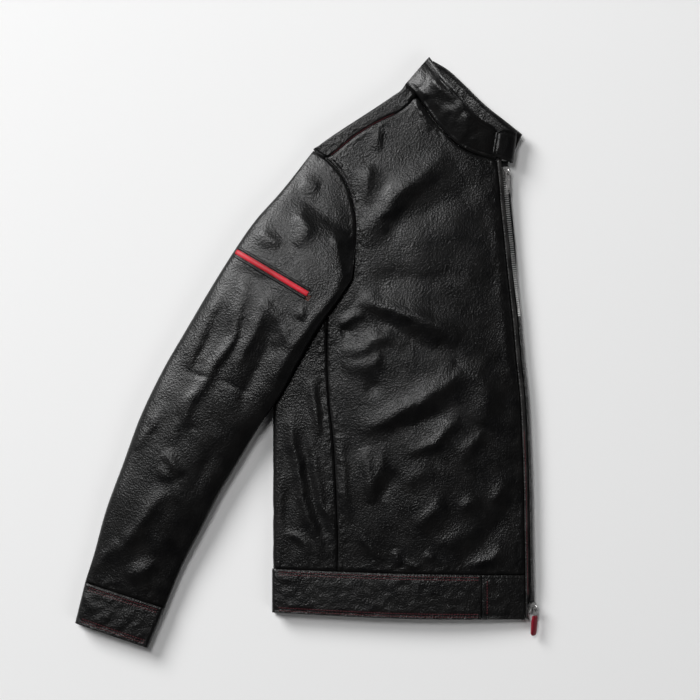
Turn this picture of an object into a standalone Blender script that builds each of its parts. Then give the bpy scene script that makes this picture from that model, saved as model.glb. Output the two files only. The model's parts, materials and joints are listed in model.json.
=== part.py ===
"""A leather racing jacket, zipped up, folded in half down its front zip and laid flat.

The wearer's right half lies on top.  +Y points to the collar, +X to the zip edge, and the
jacket rests on the plane z = 0.  Every size in the tables is in millimetres.
"""

import math

import bmesh
import bpy
import numpy as np
from mathutils import Matrix, Vector
from mathutils.bvhtree import BVHTree

MM = 0.001

# Thickness of the pieces, mm.
LEATHER = 2.0            # outer leather with its lining
DOUBLED = 3.0            # collar and hem band: leather, stiffener and facing
CUFF_WALL = 3.5          # cuff: doubled leather with its turned edge
TAB_THICK = 2.6
SEAM_GAP = 0.3           # between two pieces that meet at a seam
CORE_GAP = 0.6           # between a visible wall and the hidden layers under it

# The folded half: where the back folds, and the radius of its upper roll.
FOLD_X = -43.3
FOLD_ROLL = 5.5
FOLD_END_Y = -52.0       # above this the fold runs under the sleeve
SHOULDER_ROLL = 4.5
SLEEVE_ROLL = 6.0
UNDER_REACH = 7.0        # how far a panel runs on under the edge of the sleeve

# Curves on the laid-out jacket, each row x, y.
ZIP_LINE = (
    (238, 232), (240.8, 204), (242.5, 180), (247, 137), (252, 88), (257.4, 40),
    (261.7, -9), (266.6, -58), (269, -107), (270.8, -156), (272, -229), (273.9, -328),
)
NECK_SEAM = (
    (232, 232), (226, 235), (198, 243), (181, 253), (164, 270), (149.5, 287), (131, 314),
    (118, 328),
)
SHOULDER_SEAM = (
    (20, 237), (30, 241), (55.5, 262), (82.4, 279), (107, 291), (120, 300), (130, 311),
)
BACK_OUTLINE = (
    (5.5, 246), (15, 254), (27.5, 263), (47, 276), (66.5, 288.5), (88.5, 303), (101, 313),
    (112, 321), (116, 328),
)
SIDE_SEAM = ((21.5, 50), (22.2, 4), (24.5, -56), (30, -108), (34, -185), (35.5, -227), (34.8, -272))
HEM_SEAM = ((-43.3, -264), (111.6, -269.6), (265, -272))
HEM_EDGE = ((-43.3, -315.4), (111.6, -324.6), (265, -326.4))

# Height of the pile's top over the surface: y, near the fold, in the middle, at the zip.
BODY_HEIGHT = (
    (-330, 20.5, 21.0, 12.5), (-272, 21.0, 22.5, 12.8), (-180, 22.5, 27.5, 13.8),
    (-60, 23.5, 30.5, 14.5), (60, 24.0, 31.0, 15.0), (160, 27.0, 31.0, 16.5),
    (240, 25.0, 28.0, 20.0), (330, 22.0, 25.0, 23.0),
)

# The right sleeve from the armhole to the cuff seam: outer edge x, y; inner edge x, y;
# how far the section bows towards the neck; heights of the outer and inner edge and crown.
SLEEVE = (
    (5.5, 246.0, 53.0, 88.5, 28.0, 15.0, 31.0, 33.0),
    (-32.0, 198.0, 43.0, 73.0, 14.0, 18.0, 32.0, 40.0),
    (-64.0, 162.0, 32.0, 57.0, 5.0, 19.0, 32.0, 42.5),
    (-90.0, 125.0, 13.0, 31.0, 0.0, 19.0, 32.0, 43.5),
    (-120.0, 77.0, -8.0, -5.0, 0.0, 19.0, 32.0, 43.0),
    (-149.0, 28.0, -34.0, -52.0, 0.0, 18.5, 31.0, 41.0),
    (-178.0, -22.0, -61.0, -92.0, 0.0, 18.0, 24.0, 38.5),
    (-205.0, -78.0, -86.0, -135.0, 0.0, 18.0, 19.0, 36.5),
    (-226.0, -135.0, -109.0, -174.0, 0.0, 17.5, 18.0, 35.0),
    (-247.0, -192.0, -131.0, -217.0, 0.0, 17.0, 17.5, 33.0),
    (-261.0, -243.0, -154.0, -261.0, 0.0, 16.5, 17.0, 28.0),
    (-272.7, -280.0, -175.1, -311.7, 0.0, 15.9, 16.2, 23.6),
)
OVER_BODY_END_Y = -72.0   # down to here the sleeve's inner edge lies on the body
FREE_SLEEVE_Y = -112.0    # from here down it rolls clear of the body

# The cuffs: outer and inner corner at the seam, then at the edge, and heights.
CUFF_SEAM_ENDS = ((-272.7, -280.0), (-175.1, -311.7))
CUFF_EDGE_ENDS = ((-284.9, -330.0), (-195.8, -360.5))
CUFF_HEIGHT = 10.9

# The largest folds on the right front and the side: points x, y along each, then its
# half width and its height, mm; a trough is negative.
BODY_FOLDS = (
    (((64, 136), (84, 169), (103, 199), (127, 219), (170, 237)), 15, 3.6),
    (((70, 134), (124, 186), (192, 204)), 17, -3.4),
    (((80, 268), (66, 206)), 13, 1.6),
    (((224, 190), (235, 64), (248, -31), (248, -77)), 13, 2.0),
    (((56, 69), (101, 57), (147, 38), (172, 24)), 13, 3.0),
    (((69, 52), (124, 17), (179, -12), (203, -26)), 15, -3.2),
    (((62, -88), (85, -75), (125, -57), (167, -32), (176, -14)), 14, 3.0),
    (((66, -104), (147, -82)), 15, -2.6),
    (((88, -113), (69, -131), (68, -176)), 14, 2.2),
    (((127, -205), (160, -182), (200, -176)), 13, 2.2),
    (((249, -170), (215, -223), (173, -258)), 15, -2.6),
    (((-24, -77), (-18, -132), (-9, -175), (1, -206), (14, -250)), 7, 2.6),
    (((-9, -92), (-7, -130), (-1, -172)), 6, -2.4),
    (((4, -90), (4, -141), (9, -171), (22, -208)), 7, 2.0),
)
SLEEVE_FOLDS = (
    (((44, 108), (30, 74), (8, 44), (-8, 18), (-34, -18), (-56, -54)), 11, 2.2),
    (((-84, 50), (-118, 3), (-132, -34)), 12, 2.2),
    (((-56, 42), (-84, -8)), 10, 1.8),
    (((-30, 196), (8, 166), (42, 140)), 13, -3.0),
    (((18, 224), (10, 190)), 12, 2.0),
    (((-172, -26), (-140, -34), (-104, -30)), 8, -2.4),
    (((-156, -132), (-174, -152), (-190, -186), (-212, -216), (-238, -248)), 12, 2.4),
    (((-126, -168), (-160, -226), (-188, -272)), 11, -2.0),
)

# The collar's near (right) half: x, y by the neck seam, then x, y, z on its top edge.
COLLAR_NEAR = (
    (229.0, 236.0, 232.0, 270.0, 22.0),
    (201.0, 244.0, 224.0, 276.0, 29.0),
    (183.0, 254.5, 209.0, 284.0, 34.0),
    (166.0, 271.5, 197.0, 296.0, 37.0),
    (151.5, 288.5, 187.0, 308.5, 38.0),
    (133.0, 315.5, 171.0, 328.0, 36.0),
    (120.0, 328.5, 154.0, 350.0, 30.0),
)
COLLAR_FOLD = ((113.5, 324.0, 15.0, 145.5, 358.5, 17.0), (118.5, 327.5, 8.6, 148.5, 355.0, 9.2))
# The far (left) half lies under it: x, y, z on the neck seam, then on its top edge.
COLLAR_FAR = (
    (247.0, 235.5, 5.5, 260.5, 266.0, 17.5),
    (227.0, 238.5, 3.0, 238.5, 284.5, 11.0),
    (201.0, 244.0, 2.4, 216.0, 303.0, 7.0),
    (166.5, 271.5, 2.2, 188.5, 330.0, 5.2),
    (141.5, 301.5, 2.2, 170.0, 346.5, 5.0),
    (129.5, 319.5, 2.2, 152.5, 357.0, 4.8),
)
COLLAR_CROWN = 2.6        # how far the near half bulges between seam and edge

# The collar tab: x, y on its neck side, x, y on its top side, z, from its end to the fold.
COLLAR_TAB = (
    (223.5, 239.0, 229.0, 272.0, 28.9),
    (233.0, 235.8, 239.0, 271.6, 27.6),
    (242.0, 233.0, 246.0, 268.5, 25.2),
    (247.5, 231.5, 250.5, 262.0, 22.0),
    (249.6, 231.0, 253.0, 255.0, 18.3),
    (247.5, 232.0, 250.0, 252.0, 14.0),
)

# The red strip across the upper sleeve, between two leather welts.
STRIP_ENDS = ((-86.5, 121.0), (-3.5, 70.5))
STRIP_WIDTH = 7.0
WELT_WIDTH = 4.0
STRIP_THICK = 1.4
STRIP_LIFT = 0.6                   # over the faceted sleeve

# The zip.
CHAIN_WIDTH = 5.6
CHAIN_THICK = 2.6
CHAIN_TILT = math.radians(42)      # how far the chain faces out over the folded edge
CHAIN_HEIGHT = 9.6
CHAIN_INSET = -0.6                 # the chain's inner face from the zip line, and from its height
CHAIN_DROP = -0.4
TOP_SLIDER_Y = 220.5
LOW_SLIDER_Y = -312.0
TAPE_THICK = 1.0
PLACKET_THICK = 2.4
PLACKET_IN = 7.7                   # inner and outer edge of the placket from the zip line
PLACKET_OUT = 2.9
PLACKET_AT_SLIDER = 5.9             # it draws back beside the lower slider
FRONT_EDGE_IN = 8.0
HEM_TAB_X = 211.5                  # the seam between the hem band and its front piece

# Sliders and their pulls.
SLIDER_LENGTH = 12.5
SLIDER_WIDE = 9.0
SLIDER_NARROW = 6.6
PLATE_THICK = 1.5
SLIDER_THICK = 6.4
EYE_HEIGHT = 1.9                   # the pull's pin above the slider's top plate
EYE_RADIUS = 0.8
BAIL_RADIUS = 2.7
BAIL_WIRE = 0.75
TOP_PULL_DROOP = math.radians(5.5)  # how far each pull dips as it lies
LOW_PULL_DROOP = math.radians(7.5)
TOP_PULL_LENGTH = 27.0
PULL_WIDTH = 6.6
PULL_THICK = 1.5
LINK_LENGTH = 9.5
GRIP_LENGTH = 25.0
GRIP_WIDTH = 9.0
GRIP_THICK = 4.2

BODY_ROWS = 30
SHOULDER_ROWS = 9
FRONT_COLUMNS = 17
SIDE_COLUMNS = 7
SLEEVE_ROWS = 33
DOME_POINTS = 15


# ---------------------------------------------------------------- curves and heights

def smooth(rows, per=10):
    """A dense Catmull-Rom curve through table rows of any width."""
    points = np.array(rows, float)
    padded = np.vstack([2 * points[0] - points[1], points, 2 * points[-1] - points[-2]])
    dense = []
    for i in range(1, len(padded) - 2):
        p0, p1, p2, p3 = padded[i - 1:i + 3]
        for t in np.linspace(0, 1, per, endpoint=False):
            dense.append(0.5 * (2 * p1 + (p2 - p0) * t + (2 * p0 - 5 * p1 + 4 * p2 - p3) * t * t
                                + (3 * p1 - p0 - 3 * p2 + p3) * t ** 3))
    dense.append(points[-1])
    return np.array(dense)


def x_at(curve, y):
    """Where a curve that runs up or down the jacket passes y."""
    order = np.argsort(curve[:, 1])
    return float(np.interp(y, curve[order, 1], curve[order, 0]))


def y_at(curve, x):
    return float(np.interp(x, curve[:, 0], curve[:, 1]))


def ease(value):
    value = min(max(value, 0.0), 1.0)
    return value * value * (3 - 2 * value)


def mix(a, b, t):
    return a + (b - a) * t


def sleeve_plan(station, a):
    """The point a fraction a of the way from a station's inner edge to its outer edge."""
    outer, inner, bow = station[0:2], station[2:4], station[4]
    run = outer - inner
    neckward = np.array((run[1], -run[0])) / np.hypot(*run)
    bend = math.sin(math.pi * (1 - a) ** 0.78) if 0 < a < 1 else 0.0
    return inner + run * a + neckward * bow * bend


ZIP = smooth(ZIP_LINE)
NECK = smooth(NECK_SEAM)
SHOULDER = smooth(SHOULDER_SEAM)
OUTLINE = smooth(BACK_OUTLINE)
SIDE = smooth(SIDE_SEAM)
HEM_TOP = smooth(HEM_SEAM)
HEM_LOW = smooth(HEM_EDGE)
HEIGHT = smooth(BODY_HEIGHT)
SLEEVE_PATH = smooth(SLEEVE, 12)
SLEEVE_INNER = SLEEVE_PATH[:, 2:4]
ARM = np.array([sleeve_plan(SLEEVE_PATH[0], a) for a in np.linspace(0, 1, 60)])
BODY_FOLD_LINES = [(smooth(points, 6), width, height) for points, width, height in BODY_FOLDS]
SLEEVE_FOLD_LINES = [(smooth(points, 6), width, height) for points, width, height in SLEEVE_FOLDS]


def fold_lift(x, y, folds):
    """How far the folds raise or lower the leather at x, y."""
    lift = 0.0
    for line, width, height in folds:
        starts = line[:-1]
        runs = line[1:] - starts
        along = np.clip(((x - starts[:, 0]) * runs[:, 0] + (y - starts[:, 1]) * runs[:, 1])
                        / (runs ** 2).sum(axis=1), 0, 1)
        gaps = np.hypot(x - starts[:, 0] - along * runs[:, 0], y - starts[:, 1] - along * runs[:, 1])
        nearest = int(gaps.argmin())
        fraction = (nearest + along[nearest]) / len(runs)
        taper = (4 * fraction * (1 - fraction)) ** 0.6 if 0 < fraction < 1 else 0.0
        lift += height * taper * math.exp(-(gaps[nearest] / width) ** 2)
    return lift


def body_base(x, y):
    """Height of the folded body without its folds."""
    near, middle, edge = (float(np.interp(y, HEIGHT[:, 0], HEIGHT[:, k])) for k in (1, 2, 3))
    u = min(max((x - FOLD_X) / (x_at(ZIP, y) - FOLD_X), 0.0), 1.0)
    if u < 0.5:
        return mix(near, middle, math.sin(math.pi * u))
    return edge + (middle - edge) * math.cos(math.pi * (u - 0.5)) ** 0.75


def body_top(x, y):
    """Height of the outer face of the body's leather."""
    from_zip = x_at(ZIP, y) - x
    keep = ease((from_zip - 4) / 22) * ease((y + 274) / 26) * ease((x - FOLD_X - FOLD_ROLL) / 10)
    return body_base(x, y) + keep * fold_lift(x, y, BODY_FOLD_LINES)


# ---------------------------------------------------------------- making objects

def clear_scene():
    for item in list(bpy.data.objects):
        bpy.data.objects.remove(item, do_unlink=True)


def make_material(name, color, roughness, metallic=0.0):
    material = bpy.data.materials.new(name)
    material.use_nodes = True
    shader = material.node_tree.nodes["Principled BSDF"]
    shader.inputs["Base Color"].default_value = (*color, 1.0)
    shader.inputs["Roughness"].default_value = roughness
    shader.inputs["Metallic"].default_value = metallic
    return material


def add_object(name, mesh, material_name):
    """Link a mesh with a copy of the named material of its own."""
    material = MATERIALS[material_name].copy()
    material.name = name
    mesh.materials.append(material)
    thing = bpy.data.objects.new(name, mesh)
    COLLECTION.objects.link(thing)
    return thing


def mesh_from(name, bm):
    bmesh.ops.recalc_face_normals(bm, faces=bm.faces)
    mesh = bpy.data.meshes.new(name)
    bm.to_mesh(mesh)
    bm.free()
    return mesh


def wall(name, grid, thickness, material_name, offset=-1.0, flip=False, around=False):
    """A wall of cloth: an open sheet through a grid of points in mm, thickened inward."""
    mesh = bpy.data.meshes.new(name)
    bm = bmesh.new()
    verts = [[bm.verts.new(Vector(point) * MM) for point in row] for row in grid]
    for upper, lower in zip(verts[1:], verts[:-1]):
        count = len(upper)
        for j in range(count if around else count - 1):
            k = (j + 1) % count
            corners = (lower[j], lower[k], upper[k], upper[j])
            bm.faces.new(corners[::-1] if flip else corners)
    bm.normal_update()
    bm.to_mesh(mesh)
    bm.free()
    thing = add_object(name, mesh, material_name)
    solidify = thing.modifiers.new("thickness", "SOLIDIFY")
    solidify.thickness = thickness * MM
    solidify.offset = offset
    return thing


def lofted_solid(name, rings, material_name, hollow_ends=False):
    """A closed solid through section rings of equal count, in mm, capped at both ends.

    A hollow end's cap is a funnel down to the middle of the next ring.
    """
    bm = bmesh.new()
    verts = [[bm.verts.new(Vector(point) * MM) for point in ring] for ring in rings]
    for lower, upper in zip(verts[:-1], verts[1:]):
        count = len(lower)
        for j in range(count):
            k = (j + 1) % count
            bm.faces.new((lower[j], lower[k], upper[k], upper[j]))
    if hollow_ends:
        for ring, inner in ((verts[0][::-1], rings[1]), (verts[-1], rings[-2])):
            hub = bm.verts.new(Vector(np.mean(inner, axis=0)) * MM)
            for one, other in zip(ring, ring[1:] + ring[:1]):
                bm.faces.new((one, other, hub))
    else:
        bm.faces.new(verts[0][::-1])
        bm.faces.new(verts[-1])
    bm.normal_update()
    bmesh.ops.triangulate(bm, faces=bm.faces[:], ngon_method="EAR_CLIP")
    if bm.calc_volume(signed=True) < 0:
        bmesh.ops.reverse_faces(bm, faces=bm.faces[:])
    mesh = bpy.data.meshes.new(name)
    bm.to_mesh(mesh)
    bm.free()
    return add_object(name, mesh, material_name)


def evaluated_tree(things):
    """One ray-casting tree over the finished shapes of some objects."""
    bpy.context.view_layer.update()
    graph = bpy.context.evaluated_depsgraph_get()
    bm = bmesh.new()
    for thing in things:
        evaluated = thing.evaluated_get(graph)
        bm.from_mesh(evaluated.to_mesh())
        evaluated.to_mesh_clear()
    tree = BVHTree.FromBMesh(bm)
    bm.free()
    return tree


# ---------------------------------------------------------------- the body's panels

def fold_roll(x_edge, y, radius, angles=(0, 38, 76)):
    """Points round the upper roll of a folded edge, from its side to its underside."""
    centre = body_base(x_edge + radius, y) - radius
    points = []
    for degrees in angles:
        angle = math.radians(degrees)
        points.append((x_edge + radius * (1 - math.cos(angle)), y, centre - radius * math.sin(angle)))
    return points


def shoulder_of_roll(x_edge, y, radius):
    """The point half way between the top of the roll and its side."""
    centre = body_base(x_edge + radius, y) - radius
    reach = radius * math.sqrt(0.5)
    return (x_edge + radius - reach, y, centre + reach)


def hem_shift(x, y):
    """Near the hem the rows follow the slanting hem seam."""
    return (y_at(HEM_TOP, x) + 268.0) * ease((-200.0 - y) / 60.0)


def front_left(y):
    if y < 44:
        return x_at(SIDE, y) + SEAM_GAP
    if y < 88.5:
        return x_at(SLEEVE_INNER, y) - UNDER_REACH * ease((86 - y) / 24) + 0.8 * ease((y - 60) / 24)
    if y < 238:
        return x_at(ARM, y) + 0.8
    return x_at(SHOULDER, y) + SEAM_GAP


def front_right(y):
    if y < 229:
        return x_at(ZIP, y) - FRONT_EDGE_IN
    return min(x_at(NECK, y), x_at(ZIP, y) - FRONT_EDGE_IN) - SEAM_GAP


def body_rows():
    """Rows up the body, closer together over the sloping shoulder."""
    return list(np.linspace(-267.7, 226.0, BODY_ROWS)) + list(np.linspace(236.0, 308.0, SHOULDER_ROWS))


def spread_row(left, right, y, count):
    """Points across the body's top at y."""
    row = []
    for x in np.linspace(left, right, count):
        row.append((x, y + hem_shift(x, y), body_top(x, y)))
    return row


def make_right_front():
    grid = [spread_row(front_left(y), front_right(y), y, FRONT_COLUMNS) for y in body_rows()]
    return wall("right_front", grid, LEATHER, "black_leather")


def make_back_side():
    """The back where it comes round the side seam, with its roll at the centre fold."""
    grid = []
    for y in body_rows():
        if y > 40:
            break
        right = x_at(SIDE, y) - SEAM_GAP
        if y < FOLD_END_Y:
            flat = spread_row(FOLD_X + FOLD_ROLL, right, y, SIDE_COLUMNS)
            rolled = fold_roll(FOLD_X, y, FOLD_ROLL)[::-1] + [shoulder_of_roll(FOLD_X, y, FOLD_ROLL)]
            rolled = [(px, py + hem_shift(px, py), pz) for px, py, pz in rolled]
            grid.append(rolled + flat)
        else:
            left = x_at(SLEEVE_INNER, y) - UNDER_REACH
            grid.append(spread_row(left, right, y, SIDE_COLUMNS + 4))
    return wall("back_side", grid, LEATHER, "black_leather")


def make_back_shoulder():
    """The back where it comes over the shoulder seam, with its rolled outer edge."""
    grid = []
    for y in [y for y in body_rows() if y > 240] + [316.0, 325.0]:
        right = min(x_at(SHOULDER, y), x_at(NECK, y) - SEAM_GAP) - SEAM_GAP
        if y < 247:
            left = x_at(ARM, y) + 0.8
        else:
            left = x_at(OUTLINE, y)
        radius = SHOULDER_ROLL * ease((y - 244) / 14)
        radius = min(radius, 0.45 * (right - left))
        rolled = fold_roll(left, y, radius)[::-1] + [shoulder_of_roll(left, y, radius)]
        grid.append(rolled + spread_row(left + radius + 0.5, right, y, 4))
    return wall("back_shoulder", grid, LEATHER, "black_leather")


def side_profile(edge, inward, top, radius, lower_bulge):
    """Points down a layered edge, from inside the upper roll to the floor.

    edge is the outline point, inward its unit direction into the solid, top the height of
    the upper roll's middle, and lower_bulge 1 where the lower half's roll shows.
    """
    under = top - radius - 0.8
    inner = radius + 3.0
    depth = LEATHER + CORE_GAP
    rows = [(depth + 0.4, top), (depth + 1.7, top - 2.2), (radius + 0.5, top - radius + depth + 0.6),
            (inner, top - radius + 1.4), (inner, under)]
    rolled = [(0.45 * inner, under - 1.0), (1.0, 0.52 * under), (2.6, 0.14 * under), (6.0, 0.0)]
    for inset, height in rolled:
        rows.append((mix(inner, inset, lower_bulge), height))
    return [(edge[0] + inward[0] * inset, edge[1] + inward[1] * inset, height)
            for inset, height in rows]


def make_body_layers(panels):
    """The hidden layers of the folded body, one rounded solid layered at its fold."""
    tree = evaluated_tree(panels)
    columns = 13

    def height_under(x, y, least_x, reach_x, reach_y):
        lowest = None
        for step_x in (-1, -0.5, 0, 0.5, 1):
            for step_y in (-1, -0.5, 0, 0.5, 1):
                px, py = max(x + step_x * reach_x, least_x), y + step_y * reach_y
                start = body_base(px, py) - 8.5
                hit = tree.ray_cast(Vector((px, py, start)) * MM, Vector((0, 0, 1)), 0.03)[0]
                if hit is not None:
                    height = hit.z / MM
                    lowest = height if lowest is None else min(lowest, height)
        if lowest is None:
            lowest = body_base(x, y) - LEATHER - 4.0
        return lowest - CORE_GAP - 0.5

    rings = []
    rows = list(np.linspace(-262.0, 214.0, 22)) + list(np.linspace(226.0, 306.0, 8))
    spacing_y = rows[1] - rows[0]
    for y in rows:
        if y < 229:
            right = x_at(ZIP, y) - 13.5
        else:
            right = min(x_at(NECK, y) - 1.5, x_at(ZIP, y) - 13.5)
        bulge = 0.0
        if y < FOLD_END_Y - 15:
            edge, radius = FOLD_X, FOLD_ROLL
            bulge = 1.0
        elif y < 88.5:
            edge = max(x_at(SLEEVE_INNER, y) + 0.9, FOLD_X + 16) - LEATHER - CORE_GAP
            radius = FOLD_ROLL
        elif y < 246:
            edge = x_at(ARM, y) + mix(1.0, 3.5, ease((y - 150) / 50)) - LEATHER - CORE_GAP
            radius = FOLD_ROLL
        else:
            edge, radius = x_at(OUTLINE, y) + 6.0 * ease((262 - y) / 14), SHOULDER_ROLL
            bulge = min(1.0, (right - edge) / 40)
        slant = 1.9 if y > 246 else 1.0
        top = body_base(edge + radius, y) - radius
        if bulge == 0.0:
            flat = LEATHER + CORE_GAP
            heights = (top, top - 3.0, top - 5.0, top - 7.0, 0.55 * top, 0.4 * top, 0.25 * top,
                       0.1 * top, 0.0)
            left_side = [(edge + flat, y, height) for height in heights]
        else:
            left_side = side_profile((edge, y), (slant, 0.0), top, radius, bulge)
        if bulge:
            left_side.insert(0, (edge + 3.9 * slant, y, top + radius - LEATHER - CORE_GAP - 1.0))
        else:
            left_side.insert(0, (edge + flat + 1.0, y, top + 1.0))
        start = left_side[0][0] + 8.0
        xs = np.linspace(right - 0.4, start, columns)
        reach_x = 0.55 * abs(xs[1] - xs[0])
        top_row = [(x, y, height_under(x, y, start - 3.0, reach_x, 0.5 * spacing_y)) for x in xs]
        edge_height = min(top_row[0][2] * 0.5, 9.0)
        right_side = [(right - 3.0, y, 0.0), (right, y, 1.2), (right, y, edge_height)]
        rings.append(right_side + top_row + left_side)
    return lofted_solid("body_layers", rings, "black_leather")


# ---------------------------------------------------------------- the sleeve

def sleeve_station(fraction):
    """The sleeve's table values at a fraction of the way from armhole to cuff."""
    place = fraction * (len(SLEEVE_PATH) - 1)
    low = min(int(place), len(SLEEVE_PATH) - 2)
    return mix(SLEEVE_PATH[low], SLEEVE_PATH[low + 1], place - low)


def inner_edge_height(station):
    """The middle of the inner roll: over the body it clears the panel that it lies on."""
    x, y, table_height = station[2], station[3], station[6]
    if y < FREE_SLEEVE_Y:
        return table_height
    clear = max(body_top(x + dx, y + dy) for dx in (-9, 0, 9) for dy in (-9, 0, 9))
    over = max(clear + SLEEVE_ROLL + 1.2, table_height)
    return mix(table_height, over, ease((y - FREE_SLEEVE_Y) / (OVER_BODY_END_Y - FREE_SLEEVE_Y)))


def sleeve_section(fraction):
    """Points over the sleeve from under its inner edge, over the crown, to the outer edge."""
    station = sleeve_station(fraction)
    outer_z, crown = station[5], station[7]
    inner_z = inner_edge_height(station)
    width = float(np.hypot(*(station[0:2] - station[2:4])))
    rise = crown - 0.5 * (inner_z + outer_z)
    points = []
    for degrees in (76, 38):
        angle = math.radians(degrees)
        x, y = sleeve_plan(station, SLEEVE_ROLL * (1 - math.cos(angle)) / width)
        points.append((x, y, inner_z - SLEEVE_ROLL * math.sin(angle)))
    for k in range(DOME_POINTS):
        theta = math.pi * k / (DOME_POINTS - 1)
        cosine, sine = math.cos(theta), max(math.sin(theta), 0.0)
        a = 0.5 * (1 - math.copysign(abs(cosine) ** 0.8, cosine))
        x, y = sleeve_plan(station, a)
        z = mix(inner_z, outer_z, a) + rise * sine ** 0.8
        z += sine ** 0.5 * ease((1 - fraction) / 0.06) * fold_lift(x, y, SLEEVE_FOLD_LINES)
        join = ease(1 - fraction / 0.07) * ease((a - 0.05) / 0.2) * ease((1 - a) / 0.2)
        points.append((x, y, mix(z, body_top(x, y), join)))
    for degrees in (38, 76):
        angle = math.radians(degrees)
        x, y = sleeve_plan(station, 1 - SLEEVE_ROLL * (1 - math.cos(angle)) / width)
        points.append((x, y, outer_z - SLEEVE_ROLL * math.sin(angle)))
    return points


def sleeve_fractions():
    return [i / (SLEEVE_ROWS - 1) for i in range(SLEEVE_ROWS)]


def make_right_sleeve():
    grid = [sleeve_section(fraction) for fraction in sleeve_fractions()]
    return wall("right_sleeve", grid, LEATHER, "black_leather")


def inward_of_edge(edge, inner, along):
    """The plan direction in from an edge point, longer where the section meets it askew."""
    inward = (inner - edge)[:2] / np.hypot(*(inner - edge)[:2])
    square = np.array((-along[1], along[0])) / np.hypot(*along[:2])
    return inward / max(abs(inward.dot(square)), 0.55)


def make_sleeve_layers():
    """The layers under the sleeve's crown, the hidden sleeve among them, in one solid."""
    grid = [np.array(sleeve_section(fraction)) for fraction in sleeve_fractions()]
    depth = LEATHER + CORE_GAP
    rings = []
    for i, row in enumerate(grid):
        before = grid[max(i - 1, 0)]
        after = grid[min(i + 1, len(grid) - 1)]
        station = sleeve_station(sleeve_fractions()[i])
        inner_z = inner_edge_height(station)
        free = 1.0 - ease((station[3] - FREE_SLEEVE_Y) / (OVER_BODY_END_Y - FREE_SLEEVE_Y))
        dome = []
        for j in range(4, len(row) - 4):
            along = after[j] - before[j]
            over = row[j + 1] - row[j - 1]
            normal = np.cross(over, along)
            normal /= np.linalg.norm(normal)
            if normal[2] < 0:
                normal = -normal
            dome.append(tuple(row[j] - normal * (depth + 0.4)))
        inner_in = inward_of_edge(row[2], row[0], after[2] - before[2])
        outer_in = inward_of_edge(row[-3], row[-1], after[-3] - before[-3])
        inner_side = side_profile(row[2][:2], inner_in, inner_z, SLEEVE_ROLL, free)
        outer_side = side_profile(row[-3][:2], outer_in, station[5], SLEEVE_ROLL, 1.0)
        ring = inner_side[::-1] + dome + outer_side
        rings.append(np.array(ring))
    rings[0] = mix(rings[0], rings[1], 0.12)
    rings[-1] = mix(rings[-1], rings[-2], 0.12)
    return lofted_solid("sleeve_layers", rings, "black_leather", hollow_ends=True)


def cuff_ring(ends, low, bow=0.0):
    """A flattened ring between an outer and an inner corner, standing at height low."""
    outer, inner = (np.array(end) for end in ends)
    run = outer - inner
    half_width = 0.5 * float(np.hypot(*run))
    half_height = 0.5 * CUFF_HEIGHT
    across = run / (2 * half_width)
    middle = 0.5 * (outer + inner)
    points = []
    flat = half_width - half_height
    straight = 8
    for k in range(straight + 1):
        points.append((mix(-flat, flat, k / straight), half_height))
    for degrees in (30, 60, 90, 120, 150):
        angle = math.radians(degrees)
        points.append((flat + half_height * math.sin(angle), half_height * math.cos(angle)))
    for k in range(straight + 1):
        points.append((mix(flat, -flat, k / straight), -half_height))
    for degrees in (30, 60, 90, 120, 150):
        angle = math.radians(degrees)
        points.append((-flat - half_height * math.sin(angle), -half_height * math.cos(angle)))
    ring = []
    for a, h in points:
        crown = bow * (1 - (a / half_width) ** 2) if h > 0 else 0.0
        x, y = middle + across * a
        ring.append((x, y, low + half_height + h + crown))
    return ring


def make_cuff(name, low, bow):
    seam = [np.array(end) for end in CUFF_SEAM_ENDS]
    edge = [np.array(end) for end in CUFF_EDGE_ENDS]
    rows = []
    for t in (0.012, 0.33, 0.66, 1.0):
        ends = [mix(a, b, t) for a, b in zip(seam, edge)]
        rows.append(cuff_ring(ends, low, bow))
    return wall(name, rows, CUFF_WALL, "black_leather", around=True)


# ---------------------------------------------------------------- hem, collar, tab

def hem_path():
    """The hem band's path through the fold: x and height of its middle, top to bottom."""
    levels = (7.6, 13.4)
    path = []
    half = 0.5 * DOUBLED
    right_end = HEM_TAB_X - SEAM_GAP
    roll_x = FOLD_X + 4.5
    for x in np.linspace(right_end, roll_x, 16):
        path.append((x, body_base(x, -272) - half))
    path += [(FOLD_X + half, 0.5 * (levels[1] + path[-1][1]))]
    inner_fold = 157.0
    for x in np.linspace(roll_x, inner_fold, 7):
        path.append((x, levels[1]))
    path += [(inner_fold + 2.6, 0.5 * sum(levels))]
    for x in np.linspace(inner_fold, roll_x, 7):
        path.append((x, levels[0]))
    path += [(FOLD_X + half, 0.5 * (levels[0] + half) + 0.2)]
    for x in np.linspace(roll_x, right_end, 7):
        path.append((x, half))
    return path


def band_rows(path, top_shift, low_shift):
    """Rows of a band that hangs from the hem seam, for a path of x and height."""
    rows = []
    for x, z in path:
        top = y_at(HEM_TOP, x) - top_shift
        low = y_at(HEM_LOW, x) + low_shift
        rows.append([(x, mix(top, low, t), z) for t in (0.0, 0.33, 0.67, 1.0)])
    return rows


def make_hem_band():
    return wall("hem_band", band_rows(hem_path(), 0.6, 0.0), DOUBLED, "black_leather", offset=0.0)


def make_hem_front(name, upper):
    """The band's plain front piece, beside the zip."""
    half = 0.5 * DOUBLED
    path = []
    end = x_at(ZIP, -300) - FRONT_EDGE_IN - 1.2
    for x in np.linspace(HEM_TAB_X + SEAM_GAP, end, 6):
        path.append((x, body_base(x, -272) - half if upper else half))
    return wall(name, band_rows(path, 0.6, 0.0), DOUBLED, "black_leather", offset=0.0)


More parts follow.
